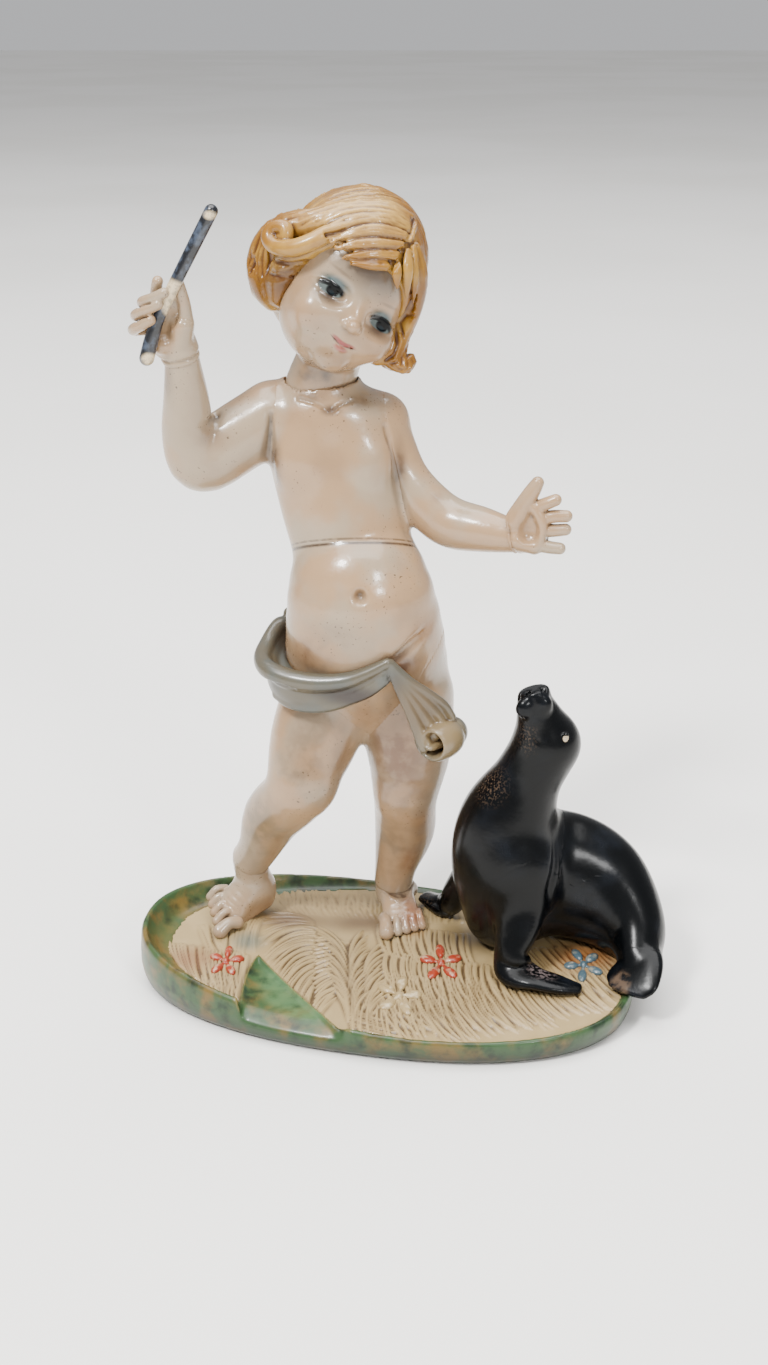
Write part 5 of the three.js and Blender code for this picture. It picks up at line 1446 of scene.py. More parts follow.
# Groups of blades, fanned from a first one to a last one: start, pull and end of each in plan
GRASS = (
    # the fern in the middle: its left side, its right side and the blades beyond
    (30, [(-8, -1), (-9.6, 8), (-15.4, 13.5)], [(-7.2, -22), (-7.4, -16), (-11.4, -10.5)], 1),
    (28, [(-7.6, -2), (-7.8, 6), (-5, 11.8)], [(-6.4, -23), (-6.6, -15), (-2.5, -11)], 1),
    (24, [(-4.4, -4), (-3.8, 2), (0.6, 6)], [(-3.4, -25), (-3, -19), (1.6, -14)], 0.9),
    (2, [(-7.6, -23), (-7.8, -12), (-7.9, -2)], [(-7, -23), (-7.3, -12), (-7.5, -2)], 1),
    (14, [(-7, -18), (-4, -22), (2, -24)], [(-7, -27), (-3, -29), (4, -30)], 0.9),
    # the fern beside it, whose blades droop to the left
    (36, [(-15.6, 12), (-22, 13), (-27.4, 5)], [(-15.2, -12), (-16.5, -17), (-16, -23)], 1),
    (22, [(-15.4, 8), (-12.8, 8), (-9.6, 6)], [(-14.4, -23), (-12.8, -18), (-9.6, -14)], 0.8),
    (12, [(-15.8, 14), (-19, 18), (-26, 17)], [(-15.8, 12), (-22, 13), (-27.4, 8)], 0.6),
    # left of the leaf
    (30, [(-48, 6), (-46.5, -2), (-42, -10)], [(-29.5, 1), (-30.5, -8), (-29.5, -16)], 0.9),
    (26, [(-45, -5), (-42.5, -13), (-37, -19)], [(-30.5, -10), (-31.4, -19), (-29.6, -26)], 0.9),
    (18, [(-42, 12), (-40, 6), (-38, 1)], [(-27, 14), (-29.5, 9), (-29, 2)], 0.6),
    # right of the fern
    (30, [(-1.5, 13), (-2, 6), (0.4, 0)], [(19, 9), (18, 2), (20, -4)], 0.8),
    (34, [(0.5, 2), (-1, -5), (1.6, -10)], [(23, -3), (22, -10), (25, -15)], 0.9),
    (36, [(0.4, -7), (0.2, -14), (3, -19)], [(25, -8), (25.5, -15), (29, -20)], 1),
    (40, [(-1.5, -15), (-1, -22), (3.5, -27)], [(29, -12), (30, -19), (35, -24)], 1),
    (36, [(8, -19), (9.5, -26), (14, -31)], [(42, -8), (43, -14), (47.5, -18)], 1),
    (28, [(24, 3), (27, -5), (31, -12)], [(47, 4), (49, -2), (52, -7)], 0.9),
    (20, [(35, 10), (38, 4), (41, 0)], [(47, 11), (50, 6), (52, 1)], 0.8),
    (20, [(24, -5), (27, -11), (32, -16)], [(44, -1), (47, -7), (50, -13)], 0.8),
    # up to the rim
    (60, [(-6, -17), (-7.5, -25), (-5, -33)], [(51, -1), (53, -8), (57, -13)], 1),
    (20, [(44, 14), (48, 9), (54, 4)], [(50, -2), (52, -7), (57, -12)], 0.9),
    # the fringe that stands along the back edge
    (60, [(-37, 23), (-37.6, 27), (-39, 31)], [(32, 11), (33, 15), (33, 20)], 0.5),
    (34, [(-24, 18), (-26.5, 22), (-29, 25)], [(14, 14), (14, 18), (12, 21)], 0.3),
)


def grass_strokes(rng):
    """Blades of grass in plan, in mm: start, pull and end of each, and how strong it is."""
    strokes = []
    for count, first, last, weight in GRASS:
        first, last = np.array(first, float), np.array(last, float)
        for share in np.linspace(0, 1, count):
            blade = first + (last - first) * share + rng.normal(0, 0.25, 2)
            blade[2] += rng.normal(0, 0.7, 2)
            strokes.append((*blade, weight * rng.uniform(0.8, 1.1)))
    return strokes


def build_grass(material):
    cell = voxel(0.27)
    x = np.arange(-54, 54 + cell, cell)
    y = np.arange(-32, 32 + cell, cell)
    plan_x, plan_y = (a.astype(np.float32) for a in np.meshgrid(x, y, indexing="ij"))
    inset = -plan_distance(plan_x, plan_y, base_outline())
    edge = inset - 1.9 - 4.1 * lip_curl(plan_x, plan_y)
    leaf = plan_distance(plan_x, plan_y, leaf_outline()) + 0.4
    relief = np.zeros_like(plan_x)
    for start, pull, end, weight in grass_strokes(np.random.default_rng(3)):
        line = bow(start, pull, end, 11)
        low, high = line.min(axis=0) - 1.2, line.max(axis=0) + 1.2
        i = slice(*np.searchsorted(x, (low[0], high[0])))
        j = slice(*np.searchsorted(y, (low[1], high[1])))
        if i.start == i.stop or j.start == j.stop:
            continue
        px, py = plan_x[i, j], plan_y[i, j]
        ridge = np.zeros_like(px)
        for k, (a, b) in enumerate(itertools.pairwise(line)):
            step = b - a
            share = np.clip(((px - a[0]) * step[0] + (py - a[1]) * step[1]) / (step @ step), 0, 1)
            apart = np.hypot(px - a[0] - step[0] * share, py - a[1] - step[1] * share)
            along = (k + share) / (len(line) - 1)
            fade = np.sin(np.pi * np.clip(0.12 + 0.84 * along, 0, 1)) ** 0.5
            found = np.clip(1 - (apart / (0.5 * fade)) ** 2, 0, 1) * fade * weight
            ridge = np.maximum(ridge, found)
        relief[i, j] = np.maximum(relief[i, j], ridge)
    relief = np.clip(relief, 0, 1)
    height = settings().grass_relief / MM
    bank = np.clip(1 - edge / 1.6, 0, 1) ** 2 * 0.15
    rear_hump = 1.6 * np.exp(-(((plan_x + 33) / 7) ** 2) - ((plan_y - 15) / 6) ** 2)
    top = base_height(plan_y) - height * 0.6 + height * relief + bank + rear_hump
    # The slab is a sheet of squares where grass shows, with walls down to a flat underside
    kept = np.minimum(edge, leaf) > 0
    cells = kept[:-1, :-1] & kept[1:, :-1] & kept[1:, 1:] & kept[:-1, 1:]
    used = np.zeros_like(kept)
    for a, b in itertools.product(PAIR, repeat=2):
        used[a : used.shape[0] - 1 + a, b : used.shape[1] - 1 + b] |= cells
    number = np.full(kept.shape, -1)
    number[used] = np.arange(used.sum())
    i, j = np.nonzero(cells)
    quads = np.stack(
        [number[i, j], number[i + 1, j], number[i + 1, j + 1], number[i, j + 1]], axis=1,
    )
    points = np.stack([plan_x[used], plan_y[used], top[used]], axis=1)
    count = len(points)
    sides = np.concatenate([quads[:, [k, (k + 1) % 4]] for k in range(4)])
    code = sides[:, 0].astype(np.int64) * count + sides[:, 1]
    rim = sides[~np.isin(code, sides[:, 1].astype(np.int64) * count + sides[:, 0])]
    after = dict(rim.tolist())
    ring = [rim[0][0]]
    while after[ring[-1]] != ring[0]:
        ring.append(after[ring[-1]])
    ring = np.array(ring)
    foot = points[ring] * (1, 1, 0) + (0, 0, 3)
    below = count + np.arange(len(ring))
    walls = np.stack([np.roll(ring, -1), ring, below, np.roll(below, -1)], axis=1)
    made = make_mesh(
        "grass_relief", np.concatenate([points, foot]) * MM, quads, [walls, below[None, ::-1]],
    )
    zeros = np.zeros(len(ring))
    near_blades = relief
    for axis in PAIR:
        steps = range(-4, 5)
        near_blades = sum(np.roll(near_blades, step, axis) for step in steps) / len(steps)
    between_blades = np.clip(2.2 * near_blades - 1.6 * relief, 0, 1)
    set_mask(made, "crease", np.concatenate([between_blades[used], zeros]))
    # Painted shadow: the grass is darkened along the leaf's edge, where the blade stands above it,
    # as well as in the joint
    near = np.exp(-((np.maximum(leaf[used] - 0.5, 0) / 0.6) ** 2))
    set_mask(made, "seam", np.concatenate([near, zeros]))
    adopt(made, material, ["grass_ground"])


FLOWERS = {
    "flower_red_left": ((-34.3, -2), 12, 1),
    "flower_red_centre": ((12.4, -2.6), 20, 1.2),
    "flower_ivory": ((3.2, -14.6), 5, 1.25),
    "flower_blue": ((43.2, -3.4), 40, 1.1),
}


def flower_clay(at, turn, size):
    """Five oval petals round a button, longer from front to back than across."""
    x, y = at
    z = base_height(y)
    clay = Clay((x - 6, y - 9, z - 1.2), (x + 6, y + 9, z + 3), voxel(0.2))
    stretch = np.array((1, 1.5, 0))
    for i in range(5):
        angle = math.radians(turn + i * 72)
        way = np.array((math.cos(angle), math.sin(angle), 0)) * stretch
        long = np.linalg.norm(way)
        middle = np.array((x, y, z)) + way * size * 2.5
        middle[2] = base_height(middle[1]) + 0.1
        way /= long
        spin = Matrix.Rotation(math.atan2(way[1], way[0]), 3, "Z")
        petal = (size * 1.45 * long, size * (0.95 + 0.35 * abs(way[0])) * 0.9, 0.85)
        clay.add(ball(middle, petal, spin), 0.1)
        clay.add(tube([((x, y, z + 0.1), 0.4), (middle, 0.4)]), 0.1)
        top = middle + (0, 0, 0.85)
        clay.carve(tube([(top - way * size * 1.2, 0.16), (top + way * size, 0.12)]), 0.25)
    clay.add(ball((x, y, z + 0.3), (size * 0.7, size * 0.95, 0.75)), 0.05)
    cut_to_ground(clay, -0.55, 0.1)
    return clay


# Materials: paint in coats over moulded plastic, with every size in millimetres

PLASTIC_IOR = 1.5
VARNISH_ROUGHNESS = 0.08
PATCH_EDGE = 0.9  # a stain, or a patch of painted shade or highlight, fades over this share of its size
RIPPLE_HEIGHT = 0.00003


def linear(code):
    """An sRGB hex value as a linear colour, opaque."""
    channels = [int(code[i : i + 2], 16) / 255 for i in (1, 3, 5)]
    curve = [c / 12.92 if c <= 0.04045 else ((c + 0.055) / 1.055) ** 2.4 for c in channels]
    return (*curve, 1.0)


class Paintwork:
    """A material under the brush. Its shares are numbers or nodes, from 0 for none to 1 for all."""

    def __init__(self, name, colour, roughness, coat=0.0, gloss=0.5, metallic=0.0):
        self.material = bpy.data.materials.new(name)
        self.material.use_nodes = True
        self.tree = self.material.node_tree
        self.tree.nodes.clear()
        sockets = {"Roughness": roughness, "Metallic": metallic, "Specular IOR Level": gloss}
        if not metallic:
            sockets |= {
                "IOR": PLASTIC_IOR, "Coat Weight": coat, "Coat Roughness": VARNISH_ROUGHNESS,
            }
        self.shader = self.add("ShaderNodeBsdfPrincipled", sockets)
        self.add("ShaderNodeOutputMaterial", {"Surface": self.shader})
        place = self.add("ShaderNodeTexCoord").outputs["Object"]
        self.at = self.add("ShaderNodeVectorMath", {0: place, "Scale": 1 / MM}, operation="SCALE")
        self.colour = linear(colour) if isinstance(colour, str) else colour

    def add(self, kind, sockets=None, **properties):
        """Adds a node with its settings.

        A socket takes a value, or a link from an output or from a node's first output.
        """
        made = self.tree.nodes.new(kind)
        for name, value in properties.items():
            setattr(made, name, value)
        for name, value in (sockets or {}).items():
            if isinstance(value, bpy.types.Node):
                value = value.outputs[0]
            if isinstance(value, bpy.types.NodeSocket):
                self.tree.links.new(value, made.inputs[name])
            else:
                made.inputs[name].default_value = value
        return made

    def cloud(self, size, low, high, detail=3.0, least=0.0):
        """Blotches about size mm across, from least under the low level to 1 over the high one."""
        noise = {"Vector": self.at, "Scale": 1 / size, "Detail": detail}
        levels = {0: self.add("ShaderNodeTexNoise", noise), 1: low, 2: high}
        found = self.add("ShaderNodeMapRange", levels, interpolation_type="SMOOTHSTEP")
        if least:
            levels = {0: found, 3: least}
            found = self.add("ShaderNodeMapRange", levels, interpolation_type="SMOOTHSTEP")
        return found

    def spot(self, centre, size, edge, turn=(0, 0, 0), place=None):
        """A soft oval area round a point: 1 in its middle and 0 outside."""
        oval = {"Vector": place or self.at, "Location": centre, "Rotation": turn, "Scale": size}
        own = self.add("ShaderNodeMapping", oval, vector_type="TEXTURE")
        far = self.add("ShaderNodeVectorMath", {0: own}, operation="LENGTH").outputs["Value"]
        levels = {0: far, 1: 1 - edge, 2: 1, 3: 1, 4: 0}
        return self.add("ShaderNodeMapRange", levels, interpolation_type="SMOOTHSTEP")

    def mask(self, name, low, high):
        """One of the masks that the pieces carry, between two levels."""
        carried = self.add("ShaderNodeAttribute", attribute_name=name).outputs["Fac"]
        levels = {0: carried, 1: low, 2: high}
        return self.add("ShaderNodeMapRange", levels, interpolation_type="SMOOTHSTEP")

    def ring(self, seam, shift, width):
        """A thin line where the plane of a seam, moved shift mm on, crosses the surface."""
        point, way = seam[0], unit(seam[1])
        sockets = {0: self.at, 1: way}
        along = self.add("ShaderNodeVectorMath", sockets, operation="DOT_PRODUCT").outputs["Value"]
        level = float(np.dot(point, way)) + shift
        far = self.add("ShaderNodeMath", {0: along, 1: level}, operation="SUBTRACT")
        far = self.add("ShaderNodeMath", {0: far}, operation="ABSOLUTE")
        levels = {0: far, 1: width * 0.4, 2: width, 3: 1, 4: 0}
        return self.add("ShaderNodeMapRange", levels, interpolation_type="SMOOTHSTEP")

    def lay(self, colour, *shares):
        """Lays paint over what is below, as far as the product of its shares says."""
        share = shares[0]
        for other in shares[1:]:
            share = self.add("ShaderNodeMath", {0: share, 1: other}, operation="MULTIPLY")
        colour = linear(colour) if isinstance(colour, str) else colour
        coats = {0: share, 6: self.colour, 7: colour}
        self.colour = self.add("ShaderNodeMix", coats, data_type="RGBA").outputs[2]

    # Lays a soft patch: a real stain, or painted shade or a painted highlight
    def stain_or_painted_light(self, colour, centre, size, *shares):
        self.lay(colour, self.spot(centre, size, PATCH_EDGE), *shares)

    def wash(self, brown, strength):
        """Brown wash that was brushed on and wiped off, so that it stays in the hollows; where
        pieces meet, the same brown is also painted shade.
        """
        share = 0.0
        for name, low, high, cover in (
            # The hollow mask darkens where one piece shades another: painted shade as well as wash
            ("hollow", 0.58, 0.88, self.cloud(2.2, 0.25, 0.75, least=0.4)),
            ("crease", 0.56, 0.86, self.cloud(2.2, 0.25, 0.75, least=0.5)),
            ("seam", 0.1, 1, 0.85),
        ):
            sockets = {0: self.mask(name, low, high), 1: cover}
            part = self.add("ShaderNodeMath", sockets, operation="MULTIPLY")
            share = self.add("ShaderNodeMath", {0: share, 1: part}, operation="MAXIMUM")
        self.lay(brown, share, strength)

    def ripple(self, size):
        """The slight ripple that a polished mould leaves, drawn coarser so that it shows."""
        relief = {"Height": self.cloud(size, 0.2, 0.8), "Distance": RIPPLE_HEIGHT, "Strength": 1.0}
        bump = self.add("ShaderNodeBump", relief)
        self.tree.links.new(bump.outputs[0], self.shader.inputs["Normal"])

    def done(self):
        self.tree.links.new(self.colour, self.shader.inputs["Base Color"])
        return self.material


# Stains and orange patina on the skin, and painted shade: in the armpits, under the chin, over the
# legs, and on the belly and thighs round the drape
SKIN_STAINS_AND_SHADE = (
    ((8.5, 4, 82), (6, 7, 5), "#764C14", 0.85),
    ((3.4, 3, 75), (6, 7, 5), "#4A2412", 0.8),
    # Painted shade on the belly just above the drape's roll
    ((-15, 3, 77), (9, 6, 5), "#4A2C1C", 0.6),
    # Painted shade over the left leg
    ((3.4, 8, 54), (11, 16, 24), "#5E3E26", 0.95),
    ((-9, 2, 82), (10, 8, 7), "#5E4A38", 0.55),
    # Painted shade in the next five rows: over the right thigh, under the drape's edge, over both
    # shins and inside the right thigh
    ((-17, 4, 52), (9, 12, 12), "#5A442E", 0.75),
    ((-13, 4, 61), (9, 10, 6), "#46301F", 0.45),
    ((2.4, 12, 26), (8, 12, 16), "#584430", 0.6),
    ((-27, 8, 35), (11, 14, 18), "#54462F", 0.65),
    ((-9, 6, 52), (4, 12, 14), "#503A2A", 0.45),
    ((6.5, 12, 12), (4.5, 9, 6), "#743410", 0.75),
    ((5.6, 14, 24), (3.5, 8, 7), "#6A3E1A", 0.5),
    ((8.4, 12, 40), (3.5, 8, 24), "#5A3820", 0.35),
    ((-34, 8, 121), (5, 6, 4), "#5E3A1E", 0.4),
    # Painted shade in both armpits, in this row and the next
    ((-22.8, 10, 114.5), (3.3, 7, 10.5), "#241008", 0.95),
    ((3.2, 10, 114), (2.4, 5, 10), "#2A140A", 0.9),
    ((11, 8, 108.6), (2.4, 4, 2), "#4A2410", 0.6),
    # Painted shade where the belly meets the drape's roll
    ((-17, 2, 74), (9, 5, 4), "#2E160C", 0.5),
    # Painted shade in the valley between the thighs, under the drape
    ((-4.6, 5, 64), (3.4, 9, 9), "#5A3420", 0.35),
    ((-4.8, -2, 90.8), (1.4, 4, 1.5), "#4A2A14", 0.7),
    # Painted shade on the neck under the chin
    ((-13, 11, 133), (9.5, 10, 6), "#463C36", 0.85),
    ((-10.6, 8.5, 126.4), (3, 3, 1.6), "#2A140C", 0.8),
    ((-15, 10, 128.6), (5.5, 4, 2.2), "#4A3628", 0.5),
    ((-4.4, 11, 127.6), (6.5, 4, 2), "#4A3628", 0.5),
)


def moulded_ivory(name="moulded_ivory", face=False):
    """Ivory-coloured PVC from a polished mould: smooth and glossy, aged to cream and grey, with
    painted shade in the armpits, under the chin, over the legs and round the drape.
    """
    work = Paintwork(name, paints().ivory, 0.26, coat=0.3)
    work.lay(paints().ivory_pale, work.cloud(14, 0.42, 0.62), 0.8)
    work.lay("#6E5238", work.cloud(10, 0.52, 0.76), 0.25)
    for centre, size, code, share in SKIN_STAINS_AND_SHADE:
        work.stain_or_painted_light(code, centre, size, work.cloud(3.5, 0.3, 0.7, least=0.55), share)
    trunk = work.spot(WAIST, (16, 22, 7), 0.2)
    broken = work.cloud(1.4, 0.3, 0.6, least=0.45)
    for shift, share in ((0, 0.6), (0.95, 0.75)):
        work.lay("#2A180C", work.ring(WAIST_SEAM, shift, 0.3), trunk, broken, share)
    work.wash(paints().wash, settings().wash)
    work.lay("#2A140A", work.cloud(0.55, 0.68, 0.74, 1), work.cloud(11, 0.48, 0.6), 0.75)
    if face:
        paint_face(work)
    work.ripple(1.6)
    return work.done()


# Side, x and z of each eye in the head's frame, and its tilt in degrees
EYES = ((-1, -5.9, -1.1, 2), (1, 6.2, -2.5, 6))
LIP_Y, EYE_Y = -12.5, -10.5


def paint_face(work):
    """Enamel brushed on by hand: eyes, lids, lips and cheeks, less glossy at the eyes, with painted
    shade under the hair, round the eyes, on the cheeks and on the chin.
    """
    frame_of_head = {"Vector": work.at, "Location": HEAD, "Rotation": HEAD_PLACE.to_euler()}
    head = work.add("ShaderNodeMapping", frame_of_head, vector_type="TEXTURE")

    def dab(code, centre, size, strength, edge, tilt=0.0):
        area = work.spot(centre, size, edge, (0, math.radians(tilt), 0), head)
        work.lay(code, area, strength)

    # Brown on both cheeks beside the nose and mouth: a brown tint and painted shade
    for x in (-6.2, 7.4):
        dab("#7A5230", (x, -9, -7), (5, 6, 4), 0.6, 1)
    # Painted shade on the forehead under the hair
    dab("#4A3E36", (0, -11, 5), (12, 8, 6), 0.9, 1)
    # Brown under the lower lip and on the chin: dirt and painted shade
    dab("#6E5030", (-0.4, -11, -12.4), (6.5, 7, 3.8), 0.6, 1)
    for side, x, z, tilt in EYES:
        for code, right, up, wide, tall, strength, edge, turn in (
            # The first row is painted shade: dark brown in the socket round and under each eye
            ("#241410", 0.2, -1.1, 4.5, 2.6, 0.85, 0.9, 0),
            ("#183C42", -0.3 * side, 1.4, 4.1, 1.9, 0.9, 0.7, 0),
            ("#030404", 0, 0.25, 3.5, 1.5, 1, 0.3, 0),
            ("#565E5C", -0.1, -0.35, 2.8, 0.85, 0.85, 0.3, 0),
            ("#020304", 0.5, -0.05, 1.6, 1.3, 1, 0.3, 0),
            ("#101E24", 0.45, -0.45, 0.9, 0.5, 0.6, 0.6, 0),
            ("#3E2A1E", -0.2 * side, 3.9, 3.4, 0.5, 0.35, 0.8, -6 * side),
        ):
            dab(code, (x + right, EYE_Y, z + up), (wide, 5, tall), strength, edge, tilt + turn)
    for code, x, z, wide, tall, strength, tilt in (
        ("#7E2424", -0.3, -8.7, 2.1, 0.6, 0.8, 17),
        ("#7E2424", 2.1, -8.85, 2.1, 0.6, 0.8, -6),
        ("#7E2424", 0.9, -8.9, 2.1, 0.6, 0.8, 4),
        ("#883434", 1, -10, 2.1, 0.8, 0.7, 3),
        ("#3A100C", -0.8, -8.95, 2, 0.2, 0.7, 20),
        ("#3A100C", 2.5, -9.15, 2, 0.2, 0.7, -10),
    ):
        dab(code, (x, LIP_Y, z), (wide, 4, tall), strength, 0.6, tilt)
    one, other = (
        work.spot((x + 0.2, EYE_Y, z - 0.1), (3, 5, 1.6), 0.4, place=head) for _, x, z, _ in EYES
    )
    brushed = work.add("ShaderNodeMath", {0: one, 1: other}, operation="MAXIMUM")
    for socket, bare, dull in (("Specular IOR Level", 0.5, 0.12), ("Coat Weight", 0.3, 0.05)):
        levels = {0: brushed, 3: bare, 4: dull}
        level = work.add("ShaderNodeMapRange", levels, interpolation_type="SMOOTHSTEP")
        work.tree.links.new(level.outputs[0], work.shader.inputs[socket])


def combed_ochre():
    """Ochre enamel over grooved PVC, rubbed with brown and varnished: glossy on the strands,
    painted paler on top as lit and darker by the face as shaded.
    """
    work = Paintwork("combed_ochre_hair", paints().hair, 0.3, coat=0.25, gloss=0.35)
    work.lay(paints().hair_pale, work.cloud(8, 0.4, 0.7))
    # Painted light: the top of the hair is painted paler, as where the light from above falls
    work.stain_or_painted_light("#CCA868", (-6, 4, 167), (20, 16, 12), 0.6)
    # Painted shade: dark brown by the face at the temples and low on the sides of the hair
    for centre, size, share in (
        ((-19, 6, 152), (8, 10, 7), 0.7),
        ((-27, 6, 149), (8, 10, 9), 0.45),
        ((9, 6, 147), (5, 9, 9), 0.45),
        ((8, 8, 138), (6, 8, 5), 0.5),
    ):
        work.stain_or_painted_light("#3A1E0A", centre, size, share)
    work.lay("#42200A", work.mask("crease", 0.46, 0.72), 0.9)
    work.wash("#2A1406", 0.85)
    return work.done()


def gloss_black():
    """Black enamel, brushed on thick, its gloss dulled by handling, with dust in the hollows."""
    work = Paintwork("gloss_black_enamel", paints().seal, 0.25, gloss=0.18)
    work.lay("#101318", work.cloud(10, 0.45, 0.75))
    work.lay("#3A3028", work.mask("hollow", 0.56, 0.8), work.cloud(1, 0.42, 0.62), 0.5)
    for centre, size in (
        ((21, 0, 49), (7, 9, 6)),
        ((42, 4, 41), (8, 9, 4)),
        ((10, 21, 11), (6, 7, 3)),
        ((30, 0, 60), (3, 6, 5)),
    ):
        work.stain_or_painted_light("#5A4838", centre, size, work.cloud(0.5, 0.52, 0.62), 0.6)
    work.lay("#B8A88E", work.spot((37.5, -2.5, 60.4), (0.75, 4, 0.85), 0.3))
    toes = work.spot((33.5, -11, 10.5), (5, 4, 2.5), 0.7)
    work.lay("#6E6260", toes, work.cloud(0.8, 0.45, 0.6), 0.6)
    fluke_edge = work.spot((49.4, -15, 9), (2.6, 4, 5), 0.5, (0, math.radians(20), 0))
    work.lay("#5E4C3C", fluke_edge, work.cloud(1.5, 0.35, 0.6), 0.6)
    work.ripple(3)
    return work.done()


def leaf_glaze():
    """Green enamel thinned over ochre PVC, so that the plastic shows through it in clouds."""
    work = Paintwork("leaf_green_glaze", paints().leaf, 0.36, coat=0.1, gloss=0.32)
    work.lay("#665024", work.cloud(6, 0.42, 0.66, 5), 0.9)
    work.lay("#0C1C10", work.cloud(4, 0.46, 0.70, 5), 0.85)
    work.stain_or_painted_light("#04321C", (10, -27, 4), (12, 6, 5), 0.5)
    cove = work.spot((-45, 6, 10), (8.5, 16, 6), 0.5, (0, 0, math.radians(-8)))
    work.lay("#4E4E26", cove, work.cloud(5, 0.3, 0.6), 0.7)
    blade = work.spot((-19, -15, 8), (7.5, 14, 5), 0.35, (0, 0, math.radians(32)))
    work.lay("#4C6C46", blade, work.cloud(3, 0.2, 0.6), 0.75)
    height = work.add("ShaderNodeSeparateXYZ", {0: work.at}).outputs[2]
    levels = {0: height, 1: 0, 2: 5.5, 3: 1, 4: 0}
    foot = work.add("ShaderNodeMapRange", levels, interpolation_type="SMOOTHSTEP")
    work.lay("#080E08", foot, 0.8)
    work.lay("#7A6A3A", work.mask("crease", 0.30, 0.12), 0.6)
    work.wash("#160E06", 0.7)
    return work.done()


def rubbed_ground():
    """Ivory PVC moulded with grass, a brown wash rubbed into the strokes and wiped off the tops,
    and painted shade under the child and the seal.
    """
    work = Paintwork("rubbed_ground", paints().grass, 0.36, coat=0.2)
    work.lay("#A08A62", work.cloud(6, 0.4, 0.65))
    work.lay("#3E2814", work.mask("crease", 0.1, 0.9), 0.75)
    for centre, size, code, share in (
        ((-14, 22, 9), (30, 6, 5), "#5E4A32", 0.25),
        ((44, 0, 8), (13, 9, 5), "#6E3C12", 0.8),
        # Painted shadow of the seal on the grass
        ((24, 8, 8), (18, 9, 5), "#120A06", 0.85),
        ((-42, -1, 8), (8, 8, 5), "#74442C", 0.5),
        ((-30, 6, 8), (6, 5, 4), "#5A6258", 0.75),
        ((6, 12, 8), (5, 6, 4), "#74401A", 0.6),
        # Painted shade on the ground under the child, in this row and the next
        ((-22, 15, 9), (12, 6, 5), "#4A3020", 0.7),
        ((-4, 14, 9), (18, 6, 5), "#4A3424", 0.75),
    ):
        work.stain_or_painted_light(code, centre, size, share)
    work.wash("#180C06", 0.45)
    return work.done()


def petal_paint(name, colour, patchy):
    """Thin enamel brushed on a petal, worn to the ivory plastic in places."""
    work = Paintwork(name, colour, 0.35, coat=0.2)
    work.lay("#CDBE9B", work.cloud(1.6, 0.5, 0.72), patchy)
    work.wash("#5E4630", 0.8)
    return work.done()


def draped_plastic():
    """Ivory PVC, moulded in folds, under a thin grey glaze: satin, and brown where it pooled, with
    painted shade in the pocket and under the roll.
    """
    work = Paintwork("grey_glazed_drape", paints().cloth, 0.3, coat=0.2)
    work.lay("#424A48", work.cloud(6, 0.42, 0.68), 0.6)
    work.lay("#2A180C", work.mask("crease", 0.5, 0.78), 0.9)
    for centre, size, code, share in (
        # Painted shade inside the pocket
        ((-19.4, 14, 76.4), (5.4, 12, 6), "#1E0E06", 1),
        # The next two rows: dark brown by the knot and along the fold under the roll, pooled glaze
        # and painted shade
        ((2, -2, 71), (3, 4, 6), "#1E0E06", 0.5),
        ((-7, -2, 69.2), (12, 5, 3.4), "#1E0E06", 0.9),
        ((7, -3, 67), (9, 8, 10), "#5A4830", 0.75),
        ((12.6, -3, 60.4), (7, 8, 7), "#8A7450", 0.75),
    ):
        work.lay(code, work.spot(centre, size, 0.8), share)
    work.wash(paints().wash, settings().wash)
    return work.done()


def worn_baton():
    """Blue-black enamel on an ivory PVC stick, worn through at its top and in the grip, and painted
    pale at its lower end as a highlight.
    """
    work = Paintwork("worn_black_baton", paints().baton, 0.3, coat=0.2)
    work.lay("#3A4352", work.cloud(1.5, 0.4, 0.7))
    for centre, size, edge in (
        ((-39.6, 0, 149.8), (3.2, 4, 4.6), 0.25),
        ((-32.2, -1.2, 165.4), (1.6, 3, 1.2), 0.5),
        # Painted highlight: the pale at the lower end
        ((-45, 0, 138.4), (1.8, 3, 1.6), 0.5),
    ):
        worn = work.cloud(0.8, 0.35, 0.55, least=0.6)
        work.lay("#CBB794", work.spot(centre, size, edge), worn)
    return work.done()


def drawn_steel():
    """Mild steel wire, drawn and cut to length: dull grey with darker blotches of oil."""
    work = Paintwork("drawn_steel_wire", "#9A9A98", 0.35, metallic=1.0)
    work.lay("#77746E", work.cloud(1, 0.4, 0.7))
    return work.done()


def matt_card():
    """Pale studio card, uncoated: matt, with a shade that wanders slowly over it."""
    work = Paintwork("pale_floor", paints().floor, 0.9)
    work.lay("#EFEDE8", work.cloud(400, 0.4, 0.6))
    return work.done()


# Properties


def colour_field(label, code, text):
    return bpy.props.FloatVectorProperty(
        name=label, description=text, default=linear(code), size=4, min=0, max=1, subtype="COLOR"
    )


def length_field(label, metres, text, least=0):
    return bpy.props.FloatProperty(
        name=label, description=text, default=metres, min=least, unit="LENGTH", subtype="DISTANCE"
    )


class PuttoSizes(bpy.types.PropertyGroup):
    detail: bpy.props.FloatProperty(
        name="Voxel scale",
        description="Above 1, every form is modelled coarser",
        default=1.0,
        min=0.6,
        max=4,
    )
    lip: length_field("Lip", 0.0008, "How far a piece reaches under its neighbour")
    grass_relief: length_field("Grass relief", 0.00075, "Height of a stroke of grass")
    wash: bpy.props.FloatProperty(
        name="Wash",
        description="How much brown stays in the hollows",
        default=0.85,
        min=0,
        max=1,
        subtype="FACTOR",
    )
    floor_size: length_field("Floor", 12, "Side of the pale floor", 1)


